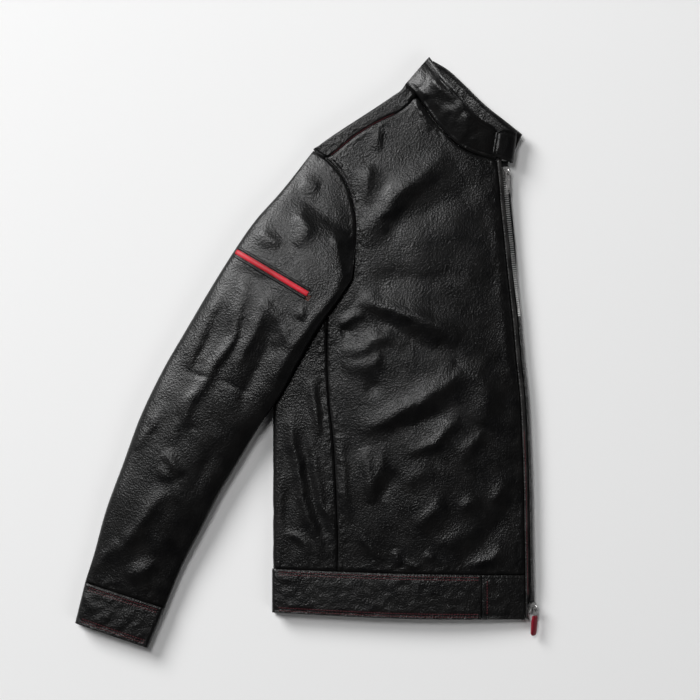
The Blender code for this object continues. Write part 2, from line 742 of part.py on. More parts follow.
def collar_grid(rows, columns, crown):
    dense = smooth(rows, 2)
    grid = []
    for row in dense:
        seam, edge = row[0:3], row[3:6]
        line = []
        for t in np.linspace(0, 1, columns):
            point = mix(seam, edge, t)
            point[2] += crown * math.sin(math.pi * t)
            line.append(tuple(point))
        grid.append(line)
    return grid


def seamed(row):
    """A near row with its seam end set on the neck seam, level with the body's leather."""
    gaps = np.hypot(NECK[:, 0] - row[0], NECK[:, 1] - row[1])
    nearest = int(gaps.argmin())
    run = NECK[min(nearest + 1, len(NECK) - 1)] - NECK[max(nearest - 1, 0)]
    outward = np.array((-run[1], run[0])) / np.hypot(*run)
    if outward[1] < 0:
        outward = -outward
    x, y = NECK[nearest] + outward * 2 * SEAM_GAP
    return (x, y, body_top(x, y) + 0.4, *row[2:])


def make_collar():
    near = collar_grid([seamed(row) for row in COLLAR_NEAR], 6, COLLAR_CROWN)
    for row in COLLAR_FOLD:
        near += collar_grid((row, row), 6, 0.0)[:1]
    far = collar_grid(COLLAR_FAR, 6, 0.0)
    wall("collar_right", near, DOUBLED, "black_leather")
    wall("collar_left", far, DOUBLED, "black_leather", offset=0.0)


def make_collar_tab():
    """The tab that lies on the near collar and turns down round its front end."""
    grid = []
    for x0, y0, x1, y1, z in smooth(COLLAR_TAB, 2):
        grid.append([(mix(x0, x1, t), mix(y0, y1, t), z) for t in np.linspace(0, 1, 5)])
    return wall("collar_tab", grid, TAB_THICK, "black_leather", flip=True)


# ---------------------------------------------------------------- sleeve strip

def strip_on_sleeve(name, tree, across_from, across_to, material_name):
    """A narrow strip that follows the sleeve between two offsets from the strip's line."""
    start, end = (np.array(point) for point in STRIP_ENDS)
    run = end - start
    side = np.array((-run[1], run[0])) / np.hypot(*run)
    grid = []
    for t in np.linspace(0, 1, 19):
        row = []
        for offset in (across_from, across_to):
            x, y = start + run * t + side * offset
            hit, normal = tree.ray_cast(Vector((x, y, 90.0)) * MM, Vector((0, 0, -1)))[:2]
            row.append((x, y, hit.z / MM + (STRIP_LIFT + STRIP_THICK) / normal.z))
        grid.append(row)
    return wall(name, grid, STRIP_THICK, material_name, flip=True)


def make_sleeve_strip(sleeve):
    tree = evaluated_tree([sleeve])
    half = 0.5 * STRIP_WIDTH
    outer = half + WELT_WIDTH
    strip_on_sleeve("sleeve_strip", tree, -half + 0.2, half - 0.2, "red_leather")
    strip_on_sleeve("strip_welt_upper", tree, half + 0.2, outer, "black_leather")
    strip_on_sleeve("strip_welt_lower", tree, -outer, -half - 0.2, "black_leather")


# ---------------------------------------------------------------- the zip

def along_zip(first, last, count):
    return np.linspace(first, last, count)


def make_placket(name, upper):
    """The narrow leather edge that holds the zip tape."""
    grid = []
    for y in along_zip(-326.0, 226.0, 26):
        line = x_at(ZIP, y)
        row = []
        out = mix(PLACKET_OUT, PLACKET_AT_SLIDER, ease(1.8 - abs(y - LOW_SLIDER_Y) / 10))
        for inset, drop in ((PLACKET_IN, 0.0), (0.5 * (PLACKET_IN + out), 0.4), (out, 1.6)):
            x = line - inset
            top = body_base(line - FRONT_EDGE_IN, max(y, -272.0)) - drop if upper else PLACKET_THICK
            row.append((x, y, top))
        grid.append(row)
    return wall(name, grid, PLACKET_THICK, "black_leather")


def chain_height(y):
    """Height of the chain: it climbs with the front towards the collar."""
    return CHAIN_HEIGHT + 3.6 * ease((y - 120.0) / 100.0)


def make_zip_tape():
    """Both tapes of the closed zip, folded round the jacket's edge behind the teeth."""
    grid = []
    for y in along_zip(LOW_SLIDER_Y + 0.5 * SLIDER_LENGTH + 0.6, TOP_SLIDER_Y - 0.5 * SLIDER_LENGTH - 0.6, 26):
        line = x_at(ZIP, y)
        z = chain_height(y) - 1.0
        grid.append([(line - 12.0, y, z + 0.2), (line - 5.0, y, z + 0.4), (line - 2.4, y, z - 1.0),
                     (line - 1.0, y, z - 3.4), (line - 5.0, y, z - 4.6), (line - 12.0, y, z - 4.8)])
    return wall("zip_tape", grid, TAPE_THICK, "zip_tape")


def make_zip_chain():
    """The closed rows of teeth as one ribbon; it faces up and out over the edge."""
    grid = []
    reach = 0.5 * CHAIN_WIDTH
    for y in along_zip(LOW_SLIDER_Y, TOP_SLIDER_Y, 28):
        line = x_at(ZIP, y)
        z = chain_height(y)
        row = []
        for across in (-reach, reach):
            x = line + CHAIN_INSET + across * math.cos(CHAIN_TILT)
            row.append((x, y, z + CHAIN_DROP - across * math.sin(CHAIN_TILT)))
        grid.append(row)
    return wall("zip_chain", grid, CHAIN_THICK, "zip_metal", offset=1.0)


def slider_frame(y):
    """Axes of a slider on the chain: X across the zip, Y up it, Z out of the folded edge."""
    up = Vector((x_at(ZIP, y + 8) - x_at(ZIP, y - 8), 16.0, 0.0)).normalized()
    out = Vector((math.sin(CHAIN_TILT), 0.0, math.cos(CHAIN_TILT)))
    place = Vector((x_at(ZIP, y) + CHAIN_INSET, y, chain_height(y) + CHAIN_DROP))
    place += out * 0.5 * CHAIN_THICK
    out = (out - up * out.dot(up)).normalized()
    across = up.cross(out)
    basis = Matrix((across, up, out)).transposed().to_4x4()
    return Matrix.Translation(place * MM) @ basis


def plate_outline(half_wide, half_narrow, length):
    """A slider plate, wide at its mouth (+Y) and narrow at its tail, with cut corners."""
    half = 0.5 * length
    return [(-half_narrow + 1.0, -half), (half_narrow - 1.0, -half), (half_narrow, -half + 1.2),
            (half_wide, half - 3.0), (half_wide - 1.4, half), (-half_wide + 1.4, half),
            (-half_wide, half - 3.0), (-half_narrow, -half + 1.2)]


def extrude_outline(outline, low, high):
    """A bmesh prism on an outline of x, y in mm between two heights."""
    bm = bmesh.new()
    base = bm.faces.new([bm.verts.new(Vector((x, y, low)) * MM) for x, y in outline])
    result = bmesh.ops.extrude_face_region(bm, geom=[base])
    moved = [item for item in result["geom"] if isinstance(item, bmesh.types.BMVert)]
    bmesh.ops.translate(bm, verts=moved, vec=Vector((0, 0, high - low)) * MM)
    bmesh.ops.recalc_face_normals(bm, faces=bm.faces)
    return bm


def arc_tube(radius, wire, first, last, steps=8, sides=6, foot=0.0):
    """A bent wire in the plane x = 0 round the X axis, with straight feet down by foot."""
    path = []
    for k in range(steps + 1):
        angle = math.radians(mix(first, last, k / steps))
        path.append(Vector((0.0, radius * math.cos(angle), radius * math.sin(angle))))
    if foot:
        path = [path[0] - Vector((0, 0, foot))] + path + [path[-1] - Vector((0, 0, foot))]
    bm = bmesh.new()
    rings = []
    for k, point in enumerate(path):
        ahead = path[min(k + 1, len(path) - 1)] - path[max(k - 1, 0)]
        ahead.normalize()
        normal = Vector((1, 0, 0))
        other = ahead.cross(normal)
        ring = []
        for s in range(sides):
            turn = 2 * math.pi * s / sides
            ring.append(bm.verts.new((point + (normal * math.cos(turn) + other * math.sin(turn))
                                      * wire) * MM))
        rings.append(ring)
    for lower, upper in zip(rings[:-1], rings[1:]):
        for s in range(sides):
            t = (s + 1) % sides
            bm.faces.new((lower[s], lower[t], upper[t], upper[s]))
    bm.faces.new(rings[0][::-1])
    bm.faces.new(rings[-1])
    bmesh.ops.recalc_face_normals(bm, faces=bm.faces)
    return bm


def united(name, pieces, material_name):
    """One solid from overlapping bmesh pieces, joined by Boolean unions."""
    things = []
    for k, bm in enumerate(pieces):
        mesh = mesh_from(f"{name}_{k}", bm)
        thing = bpy.data.objects.new(mesh.name, mesh)
        bpy.context.scene.collection.objects.link(thing)
        things.append(thing)
    first = things[0]
    for other in things[1:]:
        union = first.modifiers.new("union", "BOOLEAN")
        union.operation = "UNION"
        union.object = other
    bpy.context.view_layer.update()
    graph = bpy.context.evaluated_depsgraph_get()
    mesh = bpy.data.meshes.new_from_object(first.evaluated_get(graph))
    for thing in things:
        bpy.data.objects.remove(thing, do_unlink=True)
    mesh.name = name
    mesh.materials.clear()
    return add_object(name, mesh, material_name)


def make_slider(name, place_y, mouth):
    """A slider: two plates with a post between them, and the bail over the top plate.

    mouth is 1 where the wide end, which the open tapes enter, faces the collar, else -1.
    """
    outline = [(x, y * mouth) for x, y in
               plate_outline(0.5 * SLIDER_WIDE, 0.5 * SLIDER_NARROW, SLIDER_LENGTH)]
    post = [(-1.6, 1.0 * mouth), (1.6, 1.0 * mouth), (2.2, 5.6 * mouth), (-2.2, 5.6 * mouth)]
    top = 0.5 * SLIDER_THICK
    eye = top + EYE_HEIGHT
    pieces = [
        extrude_outline(outline, -top, -top + PLATE_THICK),
        extrude_outline(outline, top - PLATE_THICK, top),
        extrude_outline(post, -top + 0.4, top - 0.4),
    ]
    bail = arc_tube(BAIL_RADIUS, BAIL_WIRE, 0, 180, foot=EYE_HEIGHT + 0.6)
    bmesh.ops.translate(bail, verts=bail.verts, vec=Vector((0, 0, eye)) * MM)
    pieces.append(bail)
    thing = united(name, pieces, "polished_metal")
    thing.matrix_world = slider_frame(place_y)
    return thing


def rounded_rectangle(half_width, low, high, radius, steps=3):
    """Corners of a rounded rectangle in the plane, anticlockwise."""
    outline = []
    for centre_x, centre_y, first in (
        (half_width - radius, low + radius, -90), (half_width - radius, high - radius, 0),
        (-half_width + radius, high - radius, 90), (-half_width + radius, low + radius, 180),
    ):
        for k in range(steps + 1):
            angle = math.radians(first + 90 * k / steps)
            outline.append((centre_x + radius * math.cos(angle), centre_y + radius * math.sin(angle)))
    return outline


def eye_frame(place_y, droop):
    """The pull's frame: its origin on the hinge pin, -Y along the pull as it lies."""
    lift = Matrix.Translation(Vector((0, 0, 0.5 * SLIDER_THICK + EYE_HEIGHT)) * MM)
    return slider_frame(place_y) @ lift @ Matrix.Rotation(droop, 4, "X")


def holed_plate(outline, holes, thickness):
    """A bmesh plate with holes, from a filled 2D curve."""
    curve = bpy.data.curves.new("plate", "CURVE")
    curve.dimensions = "2D"
    curve.fill_mode = "BOTH"
    curve.extrude = 0.5 * thickness * MM
    for loop in [outline] + holes:
        spline = curve.splines.new("POLY")
        spline.points.add(len(loop) - 1)
        spline.use_cyclic_u = True
        for point, (x, y) in zip(spline.points, loop):
            point.co = (x * MM, y * MM, 0.0, 1.0)
    holder = bpy.data.objects.new("plate", curve)
    bpy.context.scene.collection.objects.link(holder)
    bpy.context.view_layer.update()
    graph = bpy.context.evaluated_depsgraph_get()
    mesh = bpy.data.meshes.new_from_object(holder.evaluated_get(graph))
    bpy.data.objects.remove(holder, do_unlink=True)
    bm = bmesh.new()
    bm.from_mesh(mesh)
    bmesh.ops.remove_doubles(bm, verts=bm.verts, dist=0.00001)
    bpy.data.meshes.remove(mesh)
    return bm


def pull_plate(length, tip_hole):
    """A metal pull: a ring at the pin, then a plate; y runs down from the pin."""
    half = 0.5 * PULL_WIDTH
    window = rounded_rectangle(1.5, -4.9, -EYE_RADIUS, 0.7, 2)
    holes = [window]
    if tip_hole:
        holes.append(rounded_rectangle(1.3, -length + 1.6, -length + 4.4, 1.2, 2))
        holes.append(rounded_rectangle(1.1, -11.6, -9.4, 1.0, 2))
    outline = rounded_rectangle(half, -length, EYE_RADIUS, 1.8)
    return holed_plate(outline, holes, PULL_THICK)


def make_top_pull():
    thing = add_object("top_pull", mesh_from("top_pull", pull_plate(TOP_PULL_LENGTH, True)),
                       "polished_metal")
    thing.matrix_world = eye_frame(TOP_SLIDER_Y, TOP_PULL_DROOP)
    return thing


def make_lower_pull():
    """The lower pull: a metal link, and the red leather grip sewn round its end."""
    frame = eye_frame(LOW_SLIDER_Y, LOW_PULL_DROOP)
    link = add_object("lower_pull", mesh_from("lower_pull", pull_plate(LINK_LENGTH, False)),
                      "polished_metal")
    link.matrix_world = frame
    start = LINK_LENGTH + SEAM_GAP
    grip_bm = extrude_outline(
        rounded_rectangle(0.5 * GRIP_WIDTH, -start - GRIP_LENGTH, -start, 1.6),
        -0.5 * GRIP_THICK, 0.5 * GRIP_THICK)
    grip = add_object("lower_pull_grip", mesh_from("lower_pull_grip", grip_bm), "red_leather")
    grip.matrix_world = frame
    bevel = grip.modifiers.new("rounding", "BEVEL")
    bevel.width = 1.1 * MM
    bevel.segments = 2
    bevel.limit_method = "ANGLE"
    return link, grip


# ---------------------------------------------------------------- the jacket

def make_jacket():
    front = make_right_front()
    side = make_back_side()
    shoulder = make_back_shoulder()
    make_body_layers([front, side, shoulder])
    sleeve = make_right_sleeve()
    make_sleeve_layers()
    make_sleeve_strip(sleeve)
    make_cuff("right_cuff", CUFF_HEIGHT + SEAM_GAP, 1.2)
    make_cuff("left_cuff", 0.0, 0.0)
    make_hem_band()
    make_hem_front("hem_front_right", True)
    make_hem_front("hem_front_left", False)
    make_collar()
    make_collar_tab()
    make_placket("right_placket", True)
    make_placket("left_placket", False)
    make_zip_tape()
    make_zip_chain()
    make_slider("top_slider", TOP_SLIDER_Y, 1)
    make_slider("lower_slider", LOW_SLIDER_Y, -1)
    make_top_pull()
    make_lower_pull()


clear_scene()
COLLECTION = bpy.data.collections.new("leather_racing_jacket")
bpy.context.scene.collection.children.link(COLLECTION)
MATERIALS = {
    "black_leather": make_material("black_leather", (0.012, 0.012, 0.013), 0.38),
    "red_leather": make_material("red_leather", (0.62, 0.02, 0.04), 0.42),
    "zip_tape": make_material("zip_tape", (0.01, 0.01, 0.011), 0.9),
    "zip_metal": make_material("zip_metal", (0.32, 0.32, 0.33), 0.35, 1.0),
    "polished_metal": make_material("polished_metal", (0.72, 0.71, 0.7), 0.2, 1.0),
}
make_jacket()
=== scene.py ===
"""Looks of a leather racing jacket, zipped up, folded in half down its front zip and laid flat.

The wearer's right half lies on top.  +Y points to the collar and +X to the zip edge.
Every size in the tables is in millimetres, in the frame of the CAD part.
"""

import json
import math

import bmesh
import bpy
import numpy as np
from mathutils import Matrix, Vector
from mathutils.bvhtree import BVHTree

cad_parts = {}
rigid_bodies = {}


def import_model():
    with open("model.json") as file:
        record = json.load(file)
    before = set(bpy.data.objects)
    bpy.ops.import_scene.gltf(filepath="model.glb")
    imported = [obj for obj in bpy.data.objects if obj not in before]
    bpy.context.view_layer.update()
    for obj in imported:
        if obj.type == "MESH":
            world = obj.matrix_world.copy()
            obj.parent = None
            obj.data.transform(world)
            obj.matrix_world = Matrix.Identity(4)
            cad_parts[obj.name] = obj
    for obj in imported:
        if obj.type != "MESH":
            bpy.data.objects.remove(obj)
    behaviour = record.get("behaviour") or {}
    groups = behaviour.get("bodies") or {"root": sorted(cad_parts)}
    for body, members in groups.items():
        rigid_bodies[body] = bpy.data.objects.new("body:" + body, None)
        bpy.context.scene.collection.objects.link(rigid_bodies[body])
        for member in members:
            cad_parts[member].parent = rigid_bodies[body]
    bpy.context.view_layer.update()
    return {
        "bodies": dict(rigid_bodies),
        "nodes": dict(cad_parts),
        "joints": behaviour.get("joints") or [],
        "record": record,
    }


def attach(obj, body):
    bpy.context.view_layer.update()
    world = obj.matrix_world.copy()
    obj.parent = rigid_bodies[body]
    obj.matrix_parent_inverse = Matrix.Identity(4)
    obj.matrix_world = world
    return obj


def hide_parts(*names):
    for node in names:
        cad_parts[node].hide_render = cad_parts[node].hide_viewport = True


MM = 0.001

# ---- thickness of the pieces
LEATHER = 2.0
DOUBLED = 3.0
CUFF_WALL = 3.5
TAB_THICK = 2.6
SEAM_GAP = 0.3
LAYER_GAP = 0.8          # between the upper and the lower half where they lie on each other

# ---- the folded half
FOLD_X = -43.3
FOLD_ROLL = 5.5
SHOULDER_ROLL = 4.5
SLEEVE_ROLL = 6.0
UNDER_REACH = 7.0
FRONT_EDGE_IN = 8.0
HEM_TAB_X = 211.5
CENTRE_FOLD_X = 157.0    # the hidden fold at the centre of the back
HEM_LEVELS = (7.6, 13.4)  # heights of the hem band's two hidden runs
HEM_UPPER_POINTS = 97    # points of the band's path on the top layer and round its first turn
HEM_Y = -272.0
PANEL_LOW_Y = -267.7     # the lowest row of the panels, before it follows the hem seam
UNDER_ARM_Y = 44.0       # below it the side seam shows, beside the sleeve
ARM_LOW_Y = 88.5
ARM_HIGH_Y = 238.0
NECK_FRONT_Y = 229.0     # above it the neck seam cuts the front

ZIP_LINE = (
    (238, 232), (240.8, 204), (242.5, 180), (247, 137), (252, 88), (257.4, 40),
    (261.7, -9), (266.6, -58), (269, -107), (270.8, -156), (272, -229), (273.9, -328),
)
NECK_SEAM = (
    (232, 232), (226, 235), (198, 243), (181, 253), (164, 270), (149.5, 287), (131, 314),
    (119, 327),
)
SHOULDER_SEAM = (
    (20, 237), (30, 241), (55.5, 262), (82.4, 279), (107, 291), (120, 300), (130, 311),
)
BACK_OUTLINE = (
    (5.5, 246), (15, 254), (27.5, 263), (47, 276), (66.5, 288.5), (88.5, 303), (101, 311.5),
    (112, 319), (117, 325),
)
SIDE_SEAM = ((21.5, 50), (22.2, 4), (24.5, -56), (30, -108), (34, -185), (35.5, -227), (34.8, -272))
HEM_SEAM = ((-43.3, -264), (111.6, -269.6), (265, -272))
HEM_EDGE = ((-43.3, -317.2), (111.6, -324.6), (265, -326.4))

# Height of the pile's top: y, near the fold, in the middle, at the zip.
BODY_HEIGHT = (
    (-330, 20.5, 21.0, 12.5), (-272, 21.0, 22.5, 12.8), (-180, 22.5, 27.5, 13.8),
    (-60, 23.5, 30.5, 14.5), (60, 24.0, 31.0, 15.0), (160, 27.0, 31.0, 16.5),
    (240, 25.0, 28.0, 20.0), (330, 22.0, 25.0, 23.0),
)

# The sleeve from armhole to cuff seam: outer edge x, y; inner edge x, y; bow towards the
# neck; heights of the outer and inner edge and of the crown.
SLEEVE = (
    (5.5, 246.0, 53.0, 88.5, 28.0, 15.0, 31.0, 33.0),
    (-32.0, 198.0, 43.0, 73.0, 14.0, 18.0, 32.0, 40.0),
    (-64.0, 162.0, 32.0, 57.0, 5.0, 19.0, 32.0, 42.5),
    (-90.0, 125.0, 13.0, 31.0, 0.0, 19.0, 32.0, 43.5),
    (-120.0, 77.0, -8.0, -5.0, 0.0, 19.0, 32.0, 43.0),
    (-149.0, 28.0, -34.0, -52.0, 0.0, 18.5, 31.0, 41.0),
    (-178.0, -22.0, -61.0, -92.0, 0.0, 18.0, 24.0, 38.5),
    (-205.0, -78.0, -86.0, -135.0, 0.0, 18.0, 19.0, 36.5),
    (-226.0, -135.0, -109.0, -174.0, 0.0, 17.5, 18.0, 35.0),
    (-247.0, -192.0, -131.0, -217.0, 0.0, 17.0, 17.5, 33.0),
    (-261.0, -243.0, -154.0, -261.0, 0.0, 16.5, 17.0, 28.0),
    (-272.7, -280.0, -175.1, -311.7, 0.0, 15.9, 16.2, 23.6),
)
SLEEVE_LENGTH = 540.0
OVER_BODY_END_Y = -72.0
FREE_SLEEVE_Y = -112.0
CUFF_SEAM_ENDS = ((-272.7, -280.0), (-175.1, -311.7))
CUFF_EDGE_ENDS = ((-284.9, -330.0), (-195.8, -360.5))
CUFF_HEIGHT = 10.9

# Folds of the front and the side: points x, y along each, then half width
# and height; a trough is negative.
BODY_FOLDS = (
    (((64, 134), (75, 158), (87, 179), (102, 199), (125, 217), (147, 233), (170, 244)), 12, 3.2),
    (((64, 131), (102, 163), (147, 185), (181, 199), (204, 203)), 14, -2.4),
    (((73, 165), (87, 199), (89, 230)), 8, -1.6),
    (((66, 232), (68, 213), (66, 184)), 7, 1.7),
    (((80, 274), (81, 260), (79, 248)), 4.5, 1.1),
    (((129, 307), (136, 291), (143, 271)), 5, 1.2),
    (((58, 95), (102, 97), (147, 97), (185, 102)), 14, -1.6),
    (((52, 70), (71, 63), (110, 52), (149, 38), (180, 22)), 11, 3.0),
    (((44, 63), (73, 55), (93, 38), (126, 19), (166, 4), (198, -17)), 12, -2.5),
    (((37, 32), (51, 44), (68, 47)), 5, 2.0),
    (((36, 27), (50, 31)), 5, -1.8),
    (((33, 3), (59, 7), (73, 18), (93, 24), (117, 15)), 8, 2.0),
    (((36, -16), (71, -9), (86, 4)), 9, 1.8),
    (((62, -39), (84, -32)), 8, -1.8),
    (((54, -87), (79, -79), (110, -66), (143, -46), (166, -29), (178, -14)), 12, 3.2),
    (((82, -94), (121, -82), (149, -68), (170, -49)), 10, -2.6),
    (((172, -12), (205, -29), (213, -57), (204, -84)), 11, 2.4),
    (((117, -120), (143, -110), (163, -93), (180, -76)), 7, 1.7),
    (((178, -123), (199, -108), (212, -88)), 7, 1.5),
    (((64, -114), (71, -149), (73, -180)), 7, 1.9),
    (((91, -109), (82, -144), (75, -177)), 6, 1.3),
    (((99, -140), (86, -177)), 8, -1.8),
    (((128, -210), (149, -188), (164, -178)), 9, 1.9),
    (((180, -189), (203, -175)), 8, 1.6),
    (((218, -179), (239, -154)), 8, 1.6),
    (((247, -152), (233, -192), (211, -220), (179, -252)), 12, -2.4),
    (((187, -257), (216, -250), (237, -240)), 7, 1.8),
    (((103, -238), (111, -259)), 4, 1.3),
    (((115, -255), (135, -260)), 3.5, 1.2),
    (((135, -244), (152, -249)), 4, 1.2),
    (((220, 206), (229, 165), (233, 131), (238, 86), (240, 19), (247, -7), (250, -43), (250, -96)),
     9, 2.0),
    (((-22, -66), (-22, -102), (-13, -158), (-5, -192), (9, -224), (18, -252)), 5.0, 2.1),
    (((-8, -75), (-5, -124), (3, -164), (10, -200), (18, -226)), 5.0, -1.8),
    (((0, -30), (6, -68), (9, -99)), 4.6, 1.6),
    (((0, -92), (6, -141), (12, -180), (26, -208), (35, -240)), 4.4, 1.7),
    (((58, -214), (72, -236), (90, -252)), 5, 1.2),
    (((150, -232), (176, -222), (202, -204)), 9, 1.2),
    (((104, -150), (128, -146), (150, -132)), 9, 1.2),
    (((37, -98), (40, -136), (43, -180), (49, -207)), 5, 1.3),
    (((12, -20), (15, -60), (17, -110)), 4.5, -1.2),
    (((-30, -150), (-27, -200), (-20, -246)), 5, -1.4),
    (((-34, -215), (-12, -226), (0, -246)), 4.5, 1.1),
)
SLEEVE_FOLDS = (
    (((-34, 184), (-6, 187), (13, 173), (32, 156), (50, 147)), 11, -3.0),
    (((-10, 213), (12, 204)), 8, 1.7),
    (((17, 238), (37, 202)), 8, 1.9),
    (((-12, 172), (-6, 153), (-18, 132)), 9, 2.2),
    (((-62, 157), (-52, 141), (-37, 129)), 7, 1.8),
    (((26, 140), (55, 135)), 6, 1.5),
    (((49, 110), (36, 86), (24, 61), (8, 41), (-9, 23), (-26, -5), (-40, -29), (-54, -56)), 8, 2.4),
    (((-5, 58), (-12, 40)), 5, 1.3),
    (((-104, 80), (-122, 47), (-138, 14), (-152, -19)), 7, 1.7),
    (((-102, 62), (-119, 30), (-133, -2), (-146, -28)), 5, -1.8),
    (((-72, 100), (-84, 66), (-93, 23), (-108, -2), (-125, -29), (-140, -52), (-153, -73),
      (-169, -113)), 6.5, 2.3),
    (((-76, 48), (-92, 2), (-112, -22)), 4, -1.2),
    (((-46, 76), (-60, 46), (-72, 20), (-84, -4), (-94, -34)), 7, 2.2),
    (((-26, 52), (-46, 22), (-60, -10), (-76, -44), (-88, -86)), 8, -3.0),
    (((-152, -22), (-136, -27), (-116, -30)), 2.0, -1.0),
    (((-112, -34), (-90, -40), (-66, -52)), 1.8, -0.6),
    (((-150, -86), (-134, -92)), 3, -0.7),
    (((-180, -121), (-154, -147)), 6, 1.6),
    (((-185, -139), (-164, -153)), 5, 1.3),
    (((-164, -155), (-190, -180), (-203, -197), (-215, -218), (-228, -235), (-244, -256)), 9, 2.5),
    (((-174, -61), (-199, -94), (-212, -116)), 6, 1.3),
    (((-233, -224), (-264, -266)), 6, 1.3),
    (((-187, -252), (-207, -264), (-222, -275)), 8, 1.8),
    (((-124, -163), (-160, -226), (-188, -276)), 12, -1.8),
    (((-110, -104), (-128, -140), (-150, -176)), 8, -1.3),
    (((-98, 110), (-70, 92), (-40, 84)), 8, -1.4),
    (((-60, 70), (-38, 40), (-22, 8)), 7, 1.3),
)
CUFF_FOLDS = (
    (((-249, -270), (-239, -281)), 5, 1.3),
    (((-229, -275), (-222, -291)), 5, 1.3),
    (((-270, -296), (-263, -322)), 4, 0.8),
    (((-252, -318), (-240, -327)), 4, 0.9),
)

# The collar's halves: place on the neck seam, place on the top edge and the edge's height.
# The near half takes its seam's height from the body; the fold and the far half state it.
COLLAR_NEAR = (
    (229.0, 236.0, 232.0, 270.0, 22.0),
    (201.0, 244.0, 224.0, 276.0, 29.0),
    (183.0, 254.5, 209.0, 284.0, 34.0),
    (166.0, 271.5, 197.0, 296.0, 37.0),
    (151.5, 288.5, 187.0, 308.5, 38.0),
    (133.0, 315.5, 171.0, 328.0, 36.0),
)
COLLAR_FOLD = (117.6, 326.6, 21.5, 147.2, 361.0, 17.0)
COLLAR_FAR = (
    (247.0, 235.5, 5.5, 260.5, 266.0, 17.5),
    (227.0, 238.5, 3.0, 238.5, 284.5, 11.0),
    (201.0, 244.0, 2.4, 216.0, 303.0, 7.0),
    (166.5, 271.5, 2.2, 188.5, 330.0, 5.2),
    (141.5, 301.5, 2.2, 170.0, 346.5, 5.0),
    (129.5, 319.5, 2.2, 152.5, 357.0, 4.8),
)
COLLAR_CROWN = 2.6
COLLAR_FOLDS = (
    (((155, 346), (168, 333)), 4, 1.8),
    (((149, 338), (160, 317)), 4, 2.2),
    (((136, 322), (145, 307)), 4, 2.2),
    (((190, 288), (200, 276)), 4, 1.0),
    (((160, 316), (176, 293)), 6, -1.3),
    (((186, 286), (196, 268)), 5, 0.9),
)
COLLAR_TAB_WIDTH = 32.0
COLLAR_TAB = (           # lower end x, y; upper end x, y; height
    (223.5, 239.0, 229.0, 271.0, 28.9),
    (233.0, 235.8, 238.5, 272.0, 27.6),
    (242.0, 233.0, 247.5, 270.3, 25.2),
    (247.5, 231.5, 253.0, 268.0, 22.0),
    (249.6, 231.0, 254.6, 265.5, 18.3),
    (248.0, 232.0, 252.5, 262.0, 14.0),
)

STRIP_ENDS = ((-87.8, 122.8), (-0.6, 70.6))
STRIP_WIDTH = 7.0
WELT_WIDTH = 4.0
ABOVE_ALL = 120.0        # from here rays look down for the surface

# ---- the zip
CHAIN_THICK = 2.6
CHAIN_TILT = math.radians(42)
CHAIN_HEIGHT = 9.6
CHAIN_INSET = -0.6
CHAIN_DROP = -0.4
TOP_SLIDER_Y = 220.5
LOW_SLIDER_Y = -312.0
SLIDER_THICK = 6.4
EYE_HEIGHT = 1.9
TOOTH_PITCH = 2.6
PAINTED_SHADE_BELOW_Y = 45.0    # below it, and on the whole far row, the teeth get a near-black metal that is painted shade; above it, by the chest, a lighter metal
PLACKET_THICK = 2.4
PLACKET_IN = 7.7
PLACKET_OUT = 2.9
PLACKET_AT_SLIDER = 5.9
LOW_PULL_DROOP = math.radians(7.5)
LINK_LENGTH = 9.5
GRIP_LENGTH = 25.0
GRIP_WIDTH = 9.0
GRIP_THICK = 4.2
GRIP_SIDES = 28

# ---- grids and stitches
FINE = 2.2                # spacing of the large panels' grids
FOLD_SPREAD = 1.2         # how much wider than its lit flank a fold is
BORDER = (0.0, 0.6, 1.3, 2.1, 3.1, 4.3, 5.8)
SEAM_DIP = 1.5            # how far a panel's edge turns down into its seam
SEAM_WIDTH = 1.7
STITCH_LENGTH = 2.7
STITCH_GAP = 0.7
STITCH_RADIUS = 0.42
# A stitch's rings: share of its length, share of its radius, height over the leather.
STITCH_RINGS = ((-0.5, 0.35, -0.3), (-0.36, 0.9, 0.12), (0.0, 1.0, 0.32), (0.36, 0.9, 0.12),
                (0.5, 0.35, -0.3))

# ---- camera, light and floor, in metres
CAMERA_PLACE = (0.0506, 0.003, 3.2)
CAMERA_LENS = 134.1
KEY_PLACE = (-3.47, 3.47, 3.44)
KEY_SIZE = 3.0
KEY_POWER = 360.0
TOP_PLACE = (-0.9, 1.5, 4.8)
TOP_SIZE = 1.3
TOP_POWER = 80.0
FLOOR_FILL_PLACE = (2.6, -2.6, 3.6)
FLOOR_FILL_POWER = 32.0
FILL_STRENGTH = 0.18     # of the sky by the horizon; overhead, behind the camera, it is dark
FILL_OVERHEAD = 0.0
FILL_AWAY = 0.4          # share of the sky's strength on the side away from the key light
FLOOR_COLOUR = (0.86, 0.86, 0.86)


# ---------------------------------------------------------------- curves and fields

def smooth(rows, per=10):
    """A dense Catmull-Rom curve through table rows of any width."""
    points = np.array(rows, float)
    padded = np.vstack([2 * points[0] - points[1], points, 2 * points[-1] - points[-2]])
    dense = []
    for i in range(1, len(padded) - 2):
        p0, p1, p2, p3 = padded[i - 1:i + 3]
        for t in np.linspace(0, 1, per, endpoint=False):
            dense.append(0.5 * (2 * p1 + (p2 - p0) * t + (2 * p0 - 5 * p1 + 4 * p2 - p3) * t * t
                                + (3 * p1 - p0 - 3 * p2 + p3) * t ** 3))
    dense.append(points[-1])
    return np.array(dense)


def x_at(curve, y):
    """Where a curve that runs up or down crosses y."""
    order = np.argsort(curve[:, 1])
    return np.interp(y, curve[order, 1], curve[order, 0])


def y_at(curve, x):
    """Where a curve that runs from left to right crosses x."""
    return np.interp(x, curve[:, 0], curve[:, 1])


def ease(value):
    """A smooth step from 0 to 1."""
    value = np.clip(value, 0.0, 1.0)
    return value * value * (3 - 2 * value)


def mix(a, b, t):
    return a + (b - a) * t


def ridge(value, centre, width):
    """A rounded ridge, 1 high at centre."""
    return np.exp(-((value - centre) / width) ** 2)


